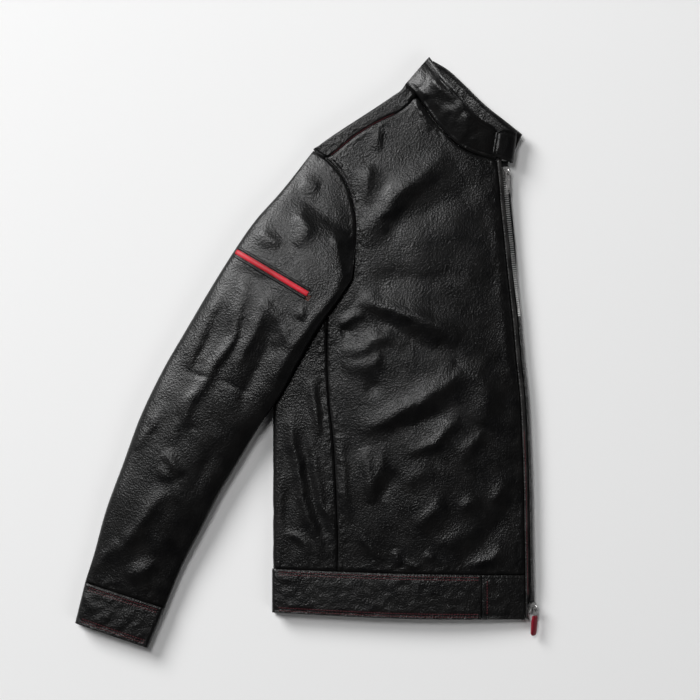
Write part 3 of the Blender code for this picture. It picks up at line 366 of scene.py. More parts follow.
def arc(first, last, count):
    """The cosine and sine of count angles from first to last, in degrees."""
    return [(math.cos(math.radians(angle)), math.sin(math.radians(angle)))
            for angle in np.linspace(first, last, count)]


def dense_ends(first, middle, last):
    """Shares of a length, listed at both ends; middle is the start, end and count of the even rest."""
    return np.concatenate([first, np.linspace(*middle), last])


def line_gap(x, y, line):
    """Distance from points to a polyline, and how far along it their nearest place is."""
    best = np.full(np.shape(x), 1e9)
    place = np.zeros(np.shape(x))
    for k in range(len(line) - 1):
        run = line[k + 1] - line[k]
        along = ((x - line[k, 0]) * run[0] + (y - line[k, 1]) * run[1]) / max(run.dot(run), 1e-9)
        along = np.clip(along, 0, 1)
        gap = np.hypot(x - line[k, 0] - along * run[0], y - line[k, 1] - along * run[1])
        nearer = gap < best
        best = np.where(nearer, gap, best)
        place = np.where(nearer, (k + along) / (len(line) - 1), place)
    return best, place


def noise_field(x, y, size, seed):
    """Smooth gradient noise, about -1 to 1, with bumps about size mm across."""
    angles = np.random.RandomState(seed).uniform(0, 2 * math.pi, (64, 64))
    u, v = x / size, y / size
    i, j = np.floor(u).astype(int), np.floor(v).astype(int)
    total = np.zeros(np.shape(x))
    for di in (0, 1):
        for dj in (0, 1):
            angle = angles[(i + di) % 64, (j + dj) % 64]
            fu, fv = u - i - di, v - j - dj
            weight = (1 - ease(np.abs(fu))) * (1 - ease(np.abs(fv)))
            total = total + weight * (np.cos(angle) * fu + np.sin(angle) * fv)
    return 1.7 * total


def relief(x, y, seed=1):
    """The leather's unevenness between its folds: shallow swells and finer dents."""
    swell = 0.6 * noise_field(x, y, 38, seed) + 0.1 * noise_field(x + 9, y, 15, seed + 1)
    bent_x = x + 5 * noise_field(x, y, 19, seed + 2)
    bent_y = y + 5 * noise_field(x, y, 19, seed + 3)
    veins = 0.5 - np.abs(noise_field(bent_x, bent_y, 15, seed + 4))
    patches = ease(0.5 + 1.2 * noise_field(x, y, 60, seed + 5))
    return swell + 0.15 * patches * veins


def fold_lift(x, y, folds):
    """How far the folds raise or lower the leather."""
    bent_x = x + 3.2 * noise_field(x, y, 31, 40) + 1.2 * noise_field(x, y, 12, 41)
    bent_y = y + 3.2 * noise_field(x, y, 31, 42) + 1.2 * noise_field(x, y, 12, 43)
    lift = np.zeros(np.shape(x))
    for line, width, height in folds:
        gap, place = line_gap(bent_x, bent_y, line)
        taper = np.clip(4 * place * (1 - place), 0, 1) ** 0.9
        lift += height * taper * np.exp(-(gap / width) ** 1.8)
    return lift


def prepared(folds, strength=1.0, away=0.0):
    """The folds as dense lines, set off from the light: their lit flank is what the table follows."""
    lines = []
    for points, width, height in folds:
        shift = np.array((away * width, -away * width))
        depth = strength * height * (0.65 if height < 0 else 1.0)
        lines.append((smooth(points, 5) + shift, FOLD_SPREAD * width, depth))
    return lines


def sleeve_plan(station, a):
    """Plan points a fraction a of the way from the stations' inner edge to their outer edge."""
    outer, inner, bow = station[..., 0:2], station[..., 2:4], station[..., 4:5]
    run = outer - inner
    neckward = np.stack([run[..., 1], -run[..., 0]], -1) / np.linalg.norm(run, axis=-1)[..., None]
    a = np.asarray(a)[..., None]
    bend = np.sin(math.pi * np.clip(1 - a, 0, 1) ** 0.78)
    return inner + run * a + neckward * bow * bend


ZIP = smooth(ZIP_LINE)
NECK = smooth(NECK_SEAM)
SHOULDER = smooth(SHOULDER_SEAM)
OUTLINE = smooth(BACK_OUTLINE)
SIDE = smooth(SIDE_SEAM)
HEM_TOP = smooth(HEM_SEAM)
HEM_LOW = smooth(HEM_EDGE)
HEIGHT = smooth(BODY_HEIGHT)
SLEEVE_PATH = smooth(SLEEVE, 12)
SLEEVE_INNER = SLEEVE_PATH[:, 2:4]
ARM = sleeve_plan(np.repeat(SLEEVE_PATH[:1], 60, axis=0), np.linspace(0, 1, 60))
BODY_LINES = prepared(BODY_FOLDS, 1.4, 0.5)
SLEEVE_LINES = prepared(SLEEVE_FOLDS, 1.5, 0.3)
CUFF_LINES = prepared(CUFF_FOLDS)
COLLAR_LINES = prepared(COLLAR_FOLDS)
PLACKET_SEAM = ZIP - np.array((FRONT_EDGE_IN, 0.0))


def body_base(x, y):
    """Height of the folded body without its folds."""
    near, middle, edge = (np.interp(y, HEIGHT[:, 0], HEIGHT[:, k]) for k in (1, 2, 3))
    u = np.clip((x - FOLD_X) / (x_at(ZIP, y) - FOLD_X), 0, 1)
    rising = mix(near, middle, np.sin(math.pi * np.minimum(u, 0.5)))
    falling = np.clip(np.cos(math.pi * (np.maximum(u, 0.5) - 0.5)), 0, 1) ** 0.75
    return np.where(u < 0.5, rising, edge + (middle - edge) * falling)


def body_top(x, y):
    """Height of the outer face of the body's leather, away from its seams."""
    from_zip = x_at(ZIP, y) - x
    keep = ease((from_zip - 4) / 22) * ease((y + 274) / 20) * ease((x - FOLD_X - FOLD_ROLL) / 8)
    return body_base(x, y) + keep * (fold_lift(x, y, BODY_LINES) + relief(x, y))


def seam_dip(x, y, seams, pucker=0.5):
    """How far leather turns down at its seams, with small puckers gathered along them."""
    dip = np.zeros(np.shape(x))
    ripple = noise_field(x * 1.6, y * 1.6, 9, 77)
    for line in seams:
        gap = line_gap(x, y, line)[0]
        dip += SEAM_DIP * ridge(gap, 0, SEAM_WIDTH) + pucker * ripple * ridge(gap, 6, 5)
    return dip


# ---------------------------------------------------------------- materials

def ranged(tree, value, low, high, to_low, to_high):
    """A Map Range node that takes low to high over to to_low to to_high."""
    node = tree.nodes.new("ShaderNodeMapRange")
    for key, number in zip(("From Min", "From Max", "To Min", "To Max"), (low, high, to_low, to_high)):
        node.inputs[key].default_value = number
    tree.links.new(value, node.inputs["Value"])
    return node


def computed(tree, operation, one, other):
    """The result of a Math node on two numbers or sockets."""
    node = tree.nodes.new("ShaderNodeMath")
    node.operation = operation
    for socket, value in zip(node.inputs, (one, other)):
        if isinstance(value, (int, float)):
            socket.default_value = value
        else:
            tree.links.new(value, socket)
    return node.outputs["Value"]


class Nodes:
    """A short way to write one material's node tree."""

    def __init__(self, name, roughness, metallic=0.0, specular=0.5):
        self.material = bpy.data.materials.new(name)
        self.material.use_nodes = True
        self.tree = self.material.node_tree
        self.shader = self.tree.nodes["Principled BSDF"]
        self.shader.inputs["Roughness"].default_value = roughness
        self.shader.inputs["Metallic"].default_value = metallic
        self.shader.inputs["Specular IOR Level"].default_value = specular
        self.place = self.tree.nodes.new("ShaderNodeTexCoord").outputs["Object"]
        self.normal = None

    def add(self, kind, links=None, **values):
        node = self.tree.nodes.new(kind)
        for key, value in values.items():
            if hasattr(node, key):
                setattr(node, key, value)
            else:
                node.inputs[key.replace("_", " ").title()].default_value = value
        for key, source in (links or {}).items():
            self.tree.links.new(source, node.inputs[key])
        return node

    def noise(self, scale, detail=3.0, distortion=0.0, roughness=0.5, place=None):
        node = self.add("ShaderNodeTexNoise", {"Vector": place or self.place}, scale=scale,
                        detail=detail, distortion=distortion, roughness=roughness)
        return node.outputs["Fac"]

    def cells(self, scale):
        node = self.add("ShaderNodeTexVoronoi", {"Vector": self.place}, feature="SMOOTH_F1",
                        scale=scale, smoothness=0.35)
        return node.outputs["Distance"]

    def wave(self, scale, distortion, direction="X"):
        node = self.add("ShaderNodeTexWave", {"Vector": self.place}, bands_direction=direction,
                        scale=scale, distortion=distortion)
        return node.outputs["Fac"]

    def between(self, value, low, high, to_low=0.0, to_high=1.0):
        return ranged(self.tree, value, low, high, to_low, to_high).outputs["Result"]

    def math(self, operation, one, other):
        return computed(self.tree, operation, one, other)

    def colour(self, factor, first, second):
        node = self.add("ShaderNodeMix", data_type="RGBA")
        node.inputs[6].default_value = (*first, 1.0)
        node.inputs[7].default_value = (*second, 1.0)
        self.tree.links.new(factor, node.inputs[0])
        self.tree.links.new(node.outputs[2], self.shader.inputs["Base Color"])

    def rough(self, value):
        self.tree.links.new(value, self.shader.inputs["Roughness"])

    def bump(self, height, strength, distance):
        """One more layer of relief, distance in metres."""
        links = {"Height": height}
        if self.normal:
            links["Normal"] = self.normal
        node = self.add("ShaderNodeBump", links, strength=strength, distance=distance)
        self.normal = node.outputs["Normal"]
        self.tree.links.new(self.normal, self.shader.inputs["Normal"])


def leather(name, dark, light, gloss, grain=1.0):
    """Semi-gloss leather: pebble grain, fine wrinkles in patches, and uneven polish."""
    nodes = Nodes(name, gloss, specular=0.36)
    patches = nodes.between(nodes.noise(16.0, detail=2.0), 0.35, 0.7, 0.35, 1.0)
    pebbles = nodes.cells(470.0)
    small = nodes.cells(900.0)
    wrinkles = nodes.noise(360.0, detail=4.0, distortion=0.6, roughness=0.6)
    nodes.colour(nodes.between(nodes.noise(40.0, detail=4.0), 0.35, 0.7), dark, light)
    uneven = nodes.between(nodes.noise(60.0, detail=5.0, roughness=0.65), 0.3, 0.7, -0.05, 0.07)
    nodes.rough(nodes.math("ADD", uneven, gloss))
    nodes.bump(nodes.math("MULTIPLY", wrinkles, patches), 0.8, 0.00024 * grain)
    nodes.bump(pebbles, 0.9, 0.00034 * grain)
    nodes.bump(small, 0.8, 0.00012 * grain)
    return nodes.material


def thread(name, dark, light):
    """Waxed sewing thread with its twist."""
    nodes = Nodes(name, 0.55, specular=0.35)
    nodes.colour(nodes.noise(420.0), dark, light)
    nodes.bump(nodes.wave(900.0, 1.5), 0.5, 0.0001)
    return nodes.material


def woven_tape(name):
    """Zip tape: a fine herringbone weave."""
    nodes = Nodes(name, 0.82, specular=0.25)
    weave = nodes.math("MULTIPLY", nodes.wave(420.0, 0.6, "Y"), nodes.wave(330.0, 0.4, "DIAGONAL"))
    nodes.colour(weave, (0.006, 0.006, 0.007), (0.02, 0.02, 0.021))
    nodes.bump(weave, 0.6, 0.0002)
    return nodes.material


def metal(name, dark, light, gloss, worn, metallic=1.0):
    """Plated metal with brushed scratches and worn patches."""
    nodes = Nodes(name, gloss, metallic=metallic)
    brushed = nodes.add("ShaderNodeMapping", {"Vector": nodes.place})
    brushed.inputs["Scale"].default_value = (1.0, 0.12, 1.0)
    scratches = nodes.noise(2600.0, detail=4.0, place=brushed.outputs["Vector"])
    stains = nodes.noise(260.0, detail=5.0)
    nodes.colour(nodes.between(stains, 0.35, 0.7), dark, light)
    nodes.rough(nodes.math("ADD", nodes.between(stains, 0.3, 0.7, -worn, worn), gloss))
    nodes.bump(scratches, 0.25, 0.00005)
    return nodes.material


def lining_cloth(name):
    """Satin lining inside the cuffs and the collar."""
    nodes = Nodes(name, 0.5, specular=0.4)
    twill = nodes.wave(700.0, 0.3, "DIAGONAL")
    nodes.colour(twill, (0.008, 0.008, 0.009), (0.022, 0.022, 0.024))
    nodes.bump(twill, 0.35, 0.0001)
    return nodes.material


# ---------------------------------------------------------------- making pieces

def new_object(name, mesh, material, body="jacket"):
    thing = bpy.data.objects.new(name, mesh)
    bpy.context.scene.collection.objects.link(thing)
    mesh.materials.append(material)
    mesh.shade_smooth()
    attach(thing, body)
    return thing


def grid_mesh(name, points, around=False, flip=False):
    """A mesh of quads through points of shape rows, columns, 3, in mm."""
    points = np.asarray(points, float)
    rows, columns = points.shape[:2]
    index = np.arange(rows * columns).reshape(rows, columns)
    if around:
        index = np.concatenate([index, index[:, :1]], axis=1)
    quads = np.stack([index[:-1, :-1], index[:-1, 1:], index[1:, 1:], index[1:, :-1]], -1)
    quads = quads.reshape(-1, 4)
    if flip:
        quads = quads[:, ::-1]
    mesh = bpy.data.meshes.new(name)
    mesh.from_pydata((points.reshape(-1, 3) * MM).tolist(), [], quads.tolist())
    mesh.update()
    return mesh


def wall(name, points, thickness, material, offset=-1.0, around=False, flip=False, rounding=0.0,
         nodes=(), inner=None):
    """A wall of leather through a grid of points, with rounded edges where rounding says so."""
    thing = new_object(name, grid_mesh(name, points, around, flip), material)
    solidify = thing.modifiers.new("thickness", "SOLIDIFY")
    solidify.thickness = thickness * MM
    solidify.offset = offset
    if inner:
        thing.data.materials.append(inner)
        solidify.material_offset = 1
        solidify.material_offset_rim = 0
    if rounding:
        bevel = thing.modifiers.new("rounding", "BEVEL")
        bevel.width = rounding * MM
        bevel.segments = 3
        bevel.limit_method = "ANGLE"
        bevel.angle_limit = math.radians(50)
    if nodes:
        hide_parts(*nodes)
    return thing


def evaluated_tree(things):
    """One ray-casting tree over the finished shapes of some objects."""
    bpy.context.view_layer.update()
    graph = bpy.context.evaluated_depsgraph_get()
    bm = bmesh.new()
    for thing in things:
        evaluated = thing.evaluated_get(graph)
        bm.from_mesh(evaluated.to_mesh())
        evaluated.to_mesh_clear()
    tree = BVHTree.FromBMesh(bm)
    bm.free()
    return tree


def across(left, right, count):
    """Places from left to right, closer together by both borders."""
    border = np.array(BORDER)
    scale = np.minimum(1.0, (right - left) / (3.2 * border[-1]))
    first = left + border * scale
    last = right - border[::-1] * scale
    middle = np.linspace(first[-1], last[0], count + 2)[1:-1]
    return np.concatenate([first, middle, last])


def spaced(first, last, spacing=FINE, low_border=False, high_border=False):
    """Places from first to last about spacing apart, closer by the borders that are seams."""
    border = np.array(BORDER)
    places = []
    start, stop = first, last
    if low_border:
        places.append(first + border[:-1])
        start = first + border[-1]
    if high_border:
        stop = last - border[-1]
    count = max(int(round((stop - start) / spacing)), 2)
    places.append(np.linspace(start, stop, count + 1))
    if high_border:
        places.append(last - border[-2::-1])
    return np.concatenate(places)


# ---------------------------------------------------------------- the body

def hem_shift(x, y):
    """How far rows near the hem move so that the lowest one follows the hem seam."""
    return (y_at(HEM_TOP, x) + 268.0) * ease((-200.0 - y) / 60.0)


def front_left(y):
    """The front's left border: side seam, the sleeve over it, armhole and shoulder seam."""
    if y < UNDER_ARM_Y:
        return x_at(SIDE, y) + SEAM_GAP
    if y < ARM_LOW_Y:
        return x_at(SLEEVE_INNER, y) - UNDER_REACH * ease((86 - y) / 24) + 0.8 * ease((y - 60) / 24)
    if y < ARM_HIGH_Y:
        return x_at(ARM, y) + 0.5
    return x_at(SHOULDER, y) + SEAM_GAP


def front_right(y):
    """The front's right border: the placket's seam, then the neck seam."""
    if y < NECK_FRONT_Y:
        return x_at(ZIP, y) - FRONT_EDGE_IN
    return min(x_at(NECK, y), x_at(ZIP, y) - FRONT_EDGE_IN) - SEAM_GAP


def lay_on_body(x, y, seams, dip=1.0):
    """Points on the body's outer face."""
    y = y + hem_shift(x, y)
    return np.stack([x, y, body_top(x, y) - dip * seam_dip(x, y, seams)], -1)


def lipped(points, first=True, last=True, depth=3.5):
    """A panel's grid with its side borders turned straight down into their seams."""
    down = np.array((0.0, 0.0, depth))
    parts = [points[:, :1] - down] if first else []
    parts.append(points)
    if last:
        parts.append(points[:, -1:] - down)
    return np.concatenate(parts, axis=1)


def make_right_front(material):
    """The front, with a groove beside the armhole."""
    ys = spaced(PANEL_LOW_Y, 309.5, low_border=True)
    xs = np.array([across(front_left(y), front_right(y), 104) for y in ys])
    yy = np.repeat(ys[:, None], xs.shape[1], axis=1)
    points = lay_on_body(xs, yy, (SIDE[:60], ARM, SHOULDER, NECK, HEM_TOP, PLACKET_SEAM))
    from_arm = line_gap(points[..., 0], points[..., 1], ARM)[0]
    points[..., 2] -= 0.9 * ridge(from_arm, 3.4, 0.9)
    return wall("right_front_panel", lipped(points), LEATHER, material, nodes=("right_front",))


def rolled_edge(x_edge, y, radius, first=140, count=11):
    """Points round a folded edge of the upper half, from its underside up to the top."""
    centre = body_base(x_edge + radius, y) - radius
    return np.array([(x_edge + radius * (1 - cosine), y, centre - radius * sine)
                     for cosine, sine in arc(first, -72, count)])


def make_back_side(material):
    """The back where it comes round the side seam, with its roll at the fold."""
    rows = []
    for y in spaced(PANEL_LOW_Y, 40.0, low_border=True):
        left = max(FOLD_X, x_at(SLEEVE_INNER, y) - UNDER_REACH)
        radius = mix(FOLD_ROLL, 1.2, ease((y + 62) / 22))
        right = x_at(SIDE, y) - SEAM_GAP
        rolled = rolled_edge(left, y, radius)
        under = rolled[0] + np.array([(16.0, 0, -0.4), (8.0, 0, -0.2)])
        rolled = np.vstack([under, rolled])
        rolled[:, 1] += hem_shift(rolled[:, 0], rolled[:, 1])
        wobble = 0.5 * noise_field(rolled[:, 1], rolled[:, 2] * 2, 17, 61)
        rolled[:, 0] -= np.minimum(wobble, 0.3) * ease((rolled[:, 2] - 8) / 6)
        xs = across(left + radius + 0.6, right, 26)
        flat = lay_on_body(xs, np.full(len(xs), y), (SIDE[:60], HEM_TOP))
        rows.append(np.vstack([rolled, flat]))
    rows = lipped(np.array(rows), first=False)
    return wall("back_side_panel", rows, LEATHER, material, nodes=("back_side",))


def make_back_shoulder(material):
    """The back where it comes over the shoulder seam, with its rolled outer edge."""
    rows = []
    for y in spaced(237.2, 325.4, 1.6):
        right = min(x_at(SHOULDER, y), x_at(NECK, y)) - SEAM_GAP
        left = min(x_at(ARM, y) + 0.5, right - 0.5) if y < 247 else x_at(OUTLINE, y)
        radius = min(SHOULDER_ROLL * ease((y - 244) / 14), 0.45 * (right - left))
        rolled = rolled_edge(left, y, max(radius, 0.05), 120, 9)
        xs = np.linspace(left + radius + 0.4, right, 22)
        flat = lay_on_body(xs, np.full(len(xs), y), (SHOULDER, NECK, ARM))
        rows.append(np.vstack([rolled, flat]))
    rows = lipped(np.array(rows), first=False)
    rows[:, -1, 0] += 3.0 * ease((rows[:, -1, 1] - 296) / 8)
    return wall("back_shoulder_panel", rows, LEATHER, material, nodes=("back_shoulder",))


def lower_edge(y):
    """Where the lower half's folded edge runs, and the radius of its roll."""
    if y < -67:
        return FOLD_X + 0.6, FOLD_ROLL
    if y < ARM_LOW_Y:
        return max(x_at(SLEEVE_INNER, y), FOLD_X + 13) + 4, FOLD_ROLL
    if y < 246:
        return x_at(ARM, y) + 4, FOLD_ROLL
    return x_at(OUTLINE, y) + 1.2 + 5 * ease((256 - y) / 10), SHOULDER_ROLL


def make_body_under(material):
    """The lower half: rolled at the fold, then face down on the surface up to the zip."""
    rows = []
    for y in spaced(-264.0, 326.0, 3.0):
        edge, radius = lower_edge(y)
        right = x_at(ZIP, y) - FRONT_EDGE_IN - 0.3
        if y > NECK_FRONT_Y:
            right = min(right, x_at(NECK, y) - 1.0)
        top = body_base(edge + radius, y) - 2 * radius - LAYER_GAP
        half = 0.5 * top
        reach = min(1.15 * half, 0.4 * (right - edge))
        inside = [(edge + reach + 26 * t, y, top - 0.5) for t in (1.0, 0.6, 0.25)]
        roll = np.array([(edge + reach * (1 - cosine), y, half + half * sine)
                         for cosine, sine in arc(90, -90, 15)])
        roll[:, 0] += 0.5 * noise_field(roll[:, 1], roll[:, 2] * 2, 19, 71)
        flat_from = edge + reach + min(2.5, 0.5 * (right - edge - reach))
        floor = [(x, y, 0.0) for x in np.linspace(flat_from, right, 70)]
        row = np.vstack([inside, roll, floor])
        row[:, 2] = np.maximum(row[:, 2], 0.0)
        row[:, 1] += hem_shift(row[:, 0], row[:, 1])
        rows.append(row)
    return wall("body_under_panel", rows, LEATHER, material, flip=True, nodes=("body_layers",))


# ---------------------------------------------------------------- the sleeves

def sleeve_stations(fractions):
    """Rows of the sleeve's table at fractions of its way from armhole to cuff."""
    place = np.asarray(fractions) * (len(SLEEVE_PATH) - 1)
    steps = np.arange(len(SLEEVE_PATH))
    return np.stack([np.interp(place, steps, SLEEVE_PATH[:, k]) for k in range(8)], -1)


def sleeve_width(stations):
    return np.linalg.norm(stations[:, 0:2] - stations[:, 2:4], axis=1)


def over_body(y):
    """How far the sleeve lies on the body: 0 below it, 1 well over it."""
    return ease((y - FREE_SLEEVE_Y) / (OVER_BODY_END_Y - FREE_SLEEVE_Y))


def sleeve_column(stations, a, z):
    """A line of points down the sleeve, a share a of the way from its inner to its outer edge."""
    plan = sleeve_plan(stations, a)
    return np.stack([plan[:, 0], plan[:, 1], z], -1)


def steps_between(first, last, count):
    """The lines of points between two others, without the two."""
    return [mix(first, last, t) for t in np.linspace(0, 1, count)[1:-1]]


def inner_heights(stations):
    """The middle of the inner roll: over the body it clears the panel that it lies on."""
    x, y, table = stations[:, 2], stations[:, 3], stations[:, 6]
    clear = np.max([body_top(x + dx, y + dy) for dx in (-9, 0, 9) for dy in (-9, 0, 9)], axis=0)
    kernel = np.exp(-np.linspace(-2, 2, 13) ** 2)
    clear = np.convolve(np.pad(clear, 6, mode="edge"), kernel / kernel.sum(), mode="valid")
    over = np.maximum(clear + SLEEVE_ROLL + 1.0, table)
    return mix(table, over, over_body(y))


def sleeve_fractions(spacing=FINE):
    return spaced(0.0, SLEEVE_LENGTH, spacing, low_border=True, high_border=True) / SLEEVE_LENGTH


def crown_column(stations, f, inner_z, theta):
    """A line of points down the upper sleeve's crown; theta is 0 at the inner edge, pi at the outer."""
    outer_z = stations[:, 5]
    cosine, sine = math.cos(theta), max(math.sin(theta), 0.0)
    a = 0.5 * (1 - math.copysign(abs(cosine) ** 0.8, cosine))
    plan = sleeve_plan(stations, np.full(f.shape, a))
    x, y = plan[:, 0], plan[:, 1]
    rise = stations[:, 7] - 0.5 * (inner_z + outer_z)
    z = mix(inner_z, outer_z, a) + rise * sine ** mix(0.6, 0.8, ease((f - 0.3) / 0.3))
    keep = sine ** 0.5 * ease((1 - f) / 0.05)
    z = z + keep * (fold_lift(x, y, SLEEVE_LINES) + relief(x, y, 11))
    join = ease(1 - f / 0.07) * ease((a - 0.05) / 0.2) * ease((1 - a) / 0.2)
    z = mix(z, body_top(x, y), join) - seam_dip(x, y, (ARM,), 0.6) * ease((a - 0.02) / 0.05)
    from_cuff = (1 - f) * SLEEVE_LENGTH
    gathers = 0.7 * sine * ease(1 - from_cuff / 26) * noise_field(x * 1.4, y * 1.4, 11, 31)
    return np.stack([x, y, z - SEAM_DIP * ridge(from_cuff, 0, 1.8) + gathers], -1)


def make_right_sleeve(material):
    """The upper sleeve as a whole tube: crown, rolled edges and flat underside."""
    fractions = sleeve_fractions()
    stations = sleeve_stations(fractions)
    width, inner_z, outer_z = sleeve_width(stations), inner_heights(stations), stations[:, 5]
    columns = [sleeve_column(stations, SLEEVE_ROLL * (1 - cosine) / width, inner_z - SLEEVE_ROLL * sine)
               for cosine, sine in arc(90, 12, 7)]
    columns += [crown_column(stations, fractions, inner_z, theta)
                for theta in np.linspace(0, math.pi, 95)]
    columns += [sleeve_column(stations, 1 - SLEEVE_ROLL * (1 - cosine) / width,
                              outer_z - SLEEVE_ROLL * sine) for cosine, sine in arc(12, 90, 7)]
    for column in steps_between(columns[-1], columns[0], 26):
        column[:, 2] += 0.25 * noise_field(column[:, 0], column[:, 1], 21, 33)
        columns.append(column)
    points = np.stack(columns, axis=1)
    return wall("right_sleeve_tube", points, LEATHER, material, around=True, nodes=("right_sleeve",))


def left_roll(stations, inset, top, outer_side):
    """The left sleeve's rounded edge: upwards on its inner side, downwards on its outer side."""
    columns = []
    for cosine, sine in arc(80, -80, 11) if outer_side else arc(-80, 80, 11):
        share = (inset + 0.55 * top * (1 - cosine)) / sleeve_width(stations)
        a = 1 - share if outer_side else share
        columns.append(sleeve_column(stations, a, 0.5 * top * (1 + sine)))
    return columns


def make_left_sleeve(material):
    """The other sleeve, lying flat under the first."""
    stations = sleeve_stations(sleeve_fractions(4.0))
    inner_top = inner_heights(stations) - SLEEVE_ROLL - LAYER_GAP
    outer_top = stations[:, 5] - SLEEVE_ROLL - LAYER_GAP
    inner_inset = mix(12.0, 0.7, 1.0 - over_body(stations[:, 3]))
    outer_inset = 0.9 + 0.6 * noise_field(stations[:, 0], stations[:, 1], 33, 91)
    inner = left_roll(stations, inner_inset, inner_top, False)
    outer = left_roll(stations, outer_inset, outer_top, True)
    top = steps_between(inner[-1], outer[0], 34)
    underside = steps_between(outer[-1], inner[0], 34)
    points = np.stack(inner + top + outer + underside, axis=1)
    points[..., 2] = np.maximum(points[..., 2], 0.0)
    return wall("left_sleeve_tube", points, LEATHER, material, around=True, nodes=("sleeve_layers",))


def cuff_outline():
    """A flattened ring's section from its top: place on the flat, then up and out at the ends."""
    flat = np.linspace(-1, 1, 44)
    points = [(t, 1.0, 0.0) for t in flat]
    points += [(1.0, cosine, sine) for cosine, sine in arc(0, 180, 13)[1:-1]]
    points += [(t, -1.0, 0.0) for t in flat[::-1]]
    points += [(-1.0, cosine, -sine) for cosine, sine in arc(180, 0, 13)[1:-1]]
    return points


def cuff_ring(t, low, bow):
    """One ring of a cuff, a share t of the way from its seam to its edge."""
    half_height = 0.5 * CUFF_HEIGHT
    outer, inner = (mix(np.array(a), np.array(b), t) for a, b in zip(CUFF_SEAM_ENDS, CUFF_EDGE_ENDS))
    half_width = 0.5 * float(np.hypot(*(outer - inner)))
    direction = (outer - inner) / (2 * half_width)
    ring = []
    for a, up, out in cuff_outline():
        reach = a * (half_width - half_height) + half_height * out
        crown = bow * (1 - (reach / half_width) ** 2) if up > 0 else 0.0
        x, y = 0.5 * (outer + inner) + direction * reach
        ring.append((x, y, low + half_height + half_height * up + crown))
    return np.array(ring)


def make_cuff(name, node, low, bow, material, inner):
    """A cuff: a doubled flattened ring with puckers along its two seams."""
    upper = np.array([up > 0.3 for _, up, _ in cuff_outline()])
    rows = []
    for t in dense_ends((0.006, 0.02, 0.045), (0.075, 0.93, 21), (0.96, 0.985, 1.0)):
        ring = cuff_ring(t, low, bow)
        x, y = ring[:, 0], ring[:, 1]
        lift = fold_lift(x, y, CUFF_LINES) + 0.45 * noise_field(x, y, 9, 51) + 0.3 * relief(x, y, 21)
        keep = ease((t - 0.03) / 0.12) * ease((1.0 - t) / 0.12)
        from_seam, from_edge = 52 * t, 51 * (1 - t)
        dip = 0.9 * ridge(from_seam, 0, 1.4) + 0.55 * ridge(from_seam, 6.3, 2.2)
        dip += 0.5 * ridge(from_edge, 6.3, 2.2)
        ring[:, 2] += np.where(upper, keep * lift - dip, 0.0)
        rows.append(ring)
    return wall(name, rows, CUFF_WALL, material, around=True, rounding=1.3, nodes=(node,), inner=inner)


# ---------------------------------------------------------------- hem and collar

def hem_path():
    """The hem band's way through the folds: x and height of its middle, top to bottom."""
    half = 0.5 * DOUBLED
    roll_x = FOLD_X + 3.2
    right_end = HEM_TAB_X - SEAM_GAP
    low_level, high_level = HEM_LEVELS
    path = [(x, body_base(x, HEM_Y) - half) for x in np.linspace(right_end, roll_x, 90)]

    def turn(x, high, low, side):
        middle, radius = 0.5 * (high + low), 0.5 * (high - low)
        path.extend((x + side * 3.0 * sine, middle + radius * cosine)
                    for cosine, sine in arc(0, 180, 9)[1:-1])

    def run(first, last, level, count):
        path.extend((x, level) for x in np.linspace(first, last, count))

    turn(roll_x, path[-1][1], high_level, -1)
    run(roll_x, CENTRE_FOLD_X, high_level, 30)
    turn(CENTRE_FOLD_X, high_level, low_level, 1)
    run(CENTRE_FOLD_X, roll_x, low_level, 30)
    turn(roll_x, low_level, half, -1)
    run(roll_x, right_end, half, 50)
    return path


def band_points(path, upper_count):
    """Points of the band below the hem seam; the path's first upper_count points lie on top."""
    shares = dense_ends((0.0, 0.015, 0.035), (0.065, 0.93, 22), (0.965, 0.985, 1.0))
    rows = []
    for k, (x, z) in enumerate(path):
        top, low = y_at(HEM_TOP, x) - 0.6, y_at(HEM_LOW, x)
        ys = mix(top, low, shares)
        xs = np.full(len(ys), x)
        wobble = 0.4 * noise_field(xs, ys, 8, 45) + 0.35 * relief(xs, ys, 15)
        from_top, from_low = top - ys, ys - low
        dip = 0.5 * ridge(from_top, 4.0, 2.6) + 0.5 * ridge(from_low, 4.5, 2.6) + ridge(from_top, 0, 1.2)
        if k < upper_count:
            zs = z + wobble * ease(from_top / 5) * ease(from_low / 4) - dip
        else:
            zs = z + 0.25 * wobble * ease((z - 3) / 3)
        rows.append(np.stack([xs, ys, zs], -1))
    return rows


def make_hem(material):
    """The band round the folded body, and its front tabs by the zip, one on the other."""
    band = wall("hem_band_leather", band_points(hem_path(), HEM_UPPER_POINTS), DOUBLED, material,
                offset=0.0, rounding=1.1, nodes=("hem_band",), flip=True)
    fronts = []
    half = 0.5 * DOUBLED
    end = x_at(ZIP, -300) - FRONT_EDGE_IN - 1.2
    for name, node, upper in (("hem_front_right_leather", "hem_front_right", True),
                              ("hem_front_left_leather", "hem_front_left", False)):
        path = [(x, body_base(x, HEM_Y) - half if upper else half)
                for x in np.linspace(HEM_TAB_X + SEAM_GAP, end, 22)]
        fronts.append(wall(name, band_points(path, len(path) if upper else 0), DOUBLED, material,
                           offset=0.0, rounding=1.1, nodes=(node,)))
    return band, fronts


def seamed(row):
    """A near row with its seam end set on the neck seam, level with the body's leather."""
    gaps = np.hypot(NECK[:, 0] - row[0], NECK[:, 1] - row[1])
    nearest = int(gaps.argmin())
    run = NECK[min(nearest + 1, len(NECK) - 1)] - NECK[max(nearest - 1, 0)]
    outward = np.array((-run[1], run[0])) / np.hypot(*run)
    if outward[1] < 0:
        outward = -outward
    x, y = NECK[nearest] + outward * 2 * SEAM_GAP
    return (x, y, float(body_base(x, y)) + 0.4, *row[2:])


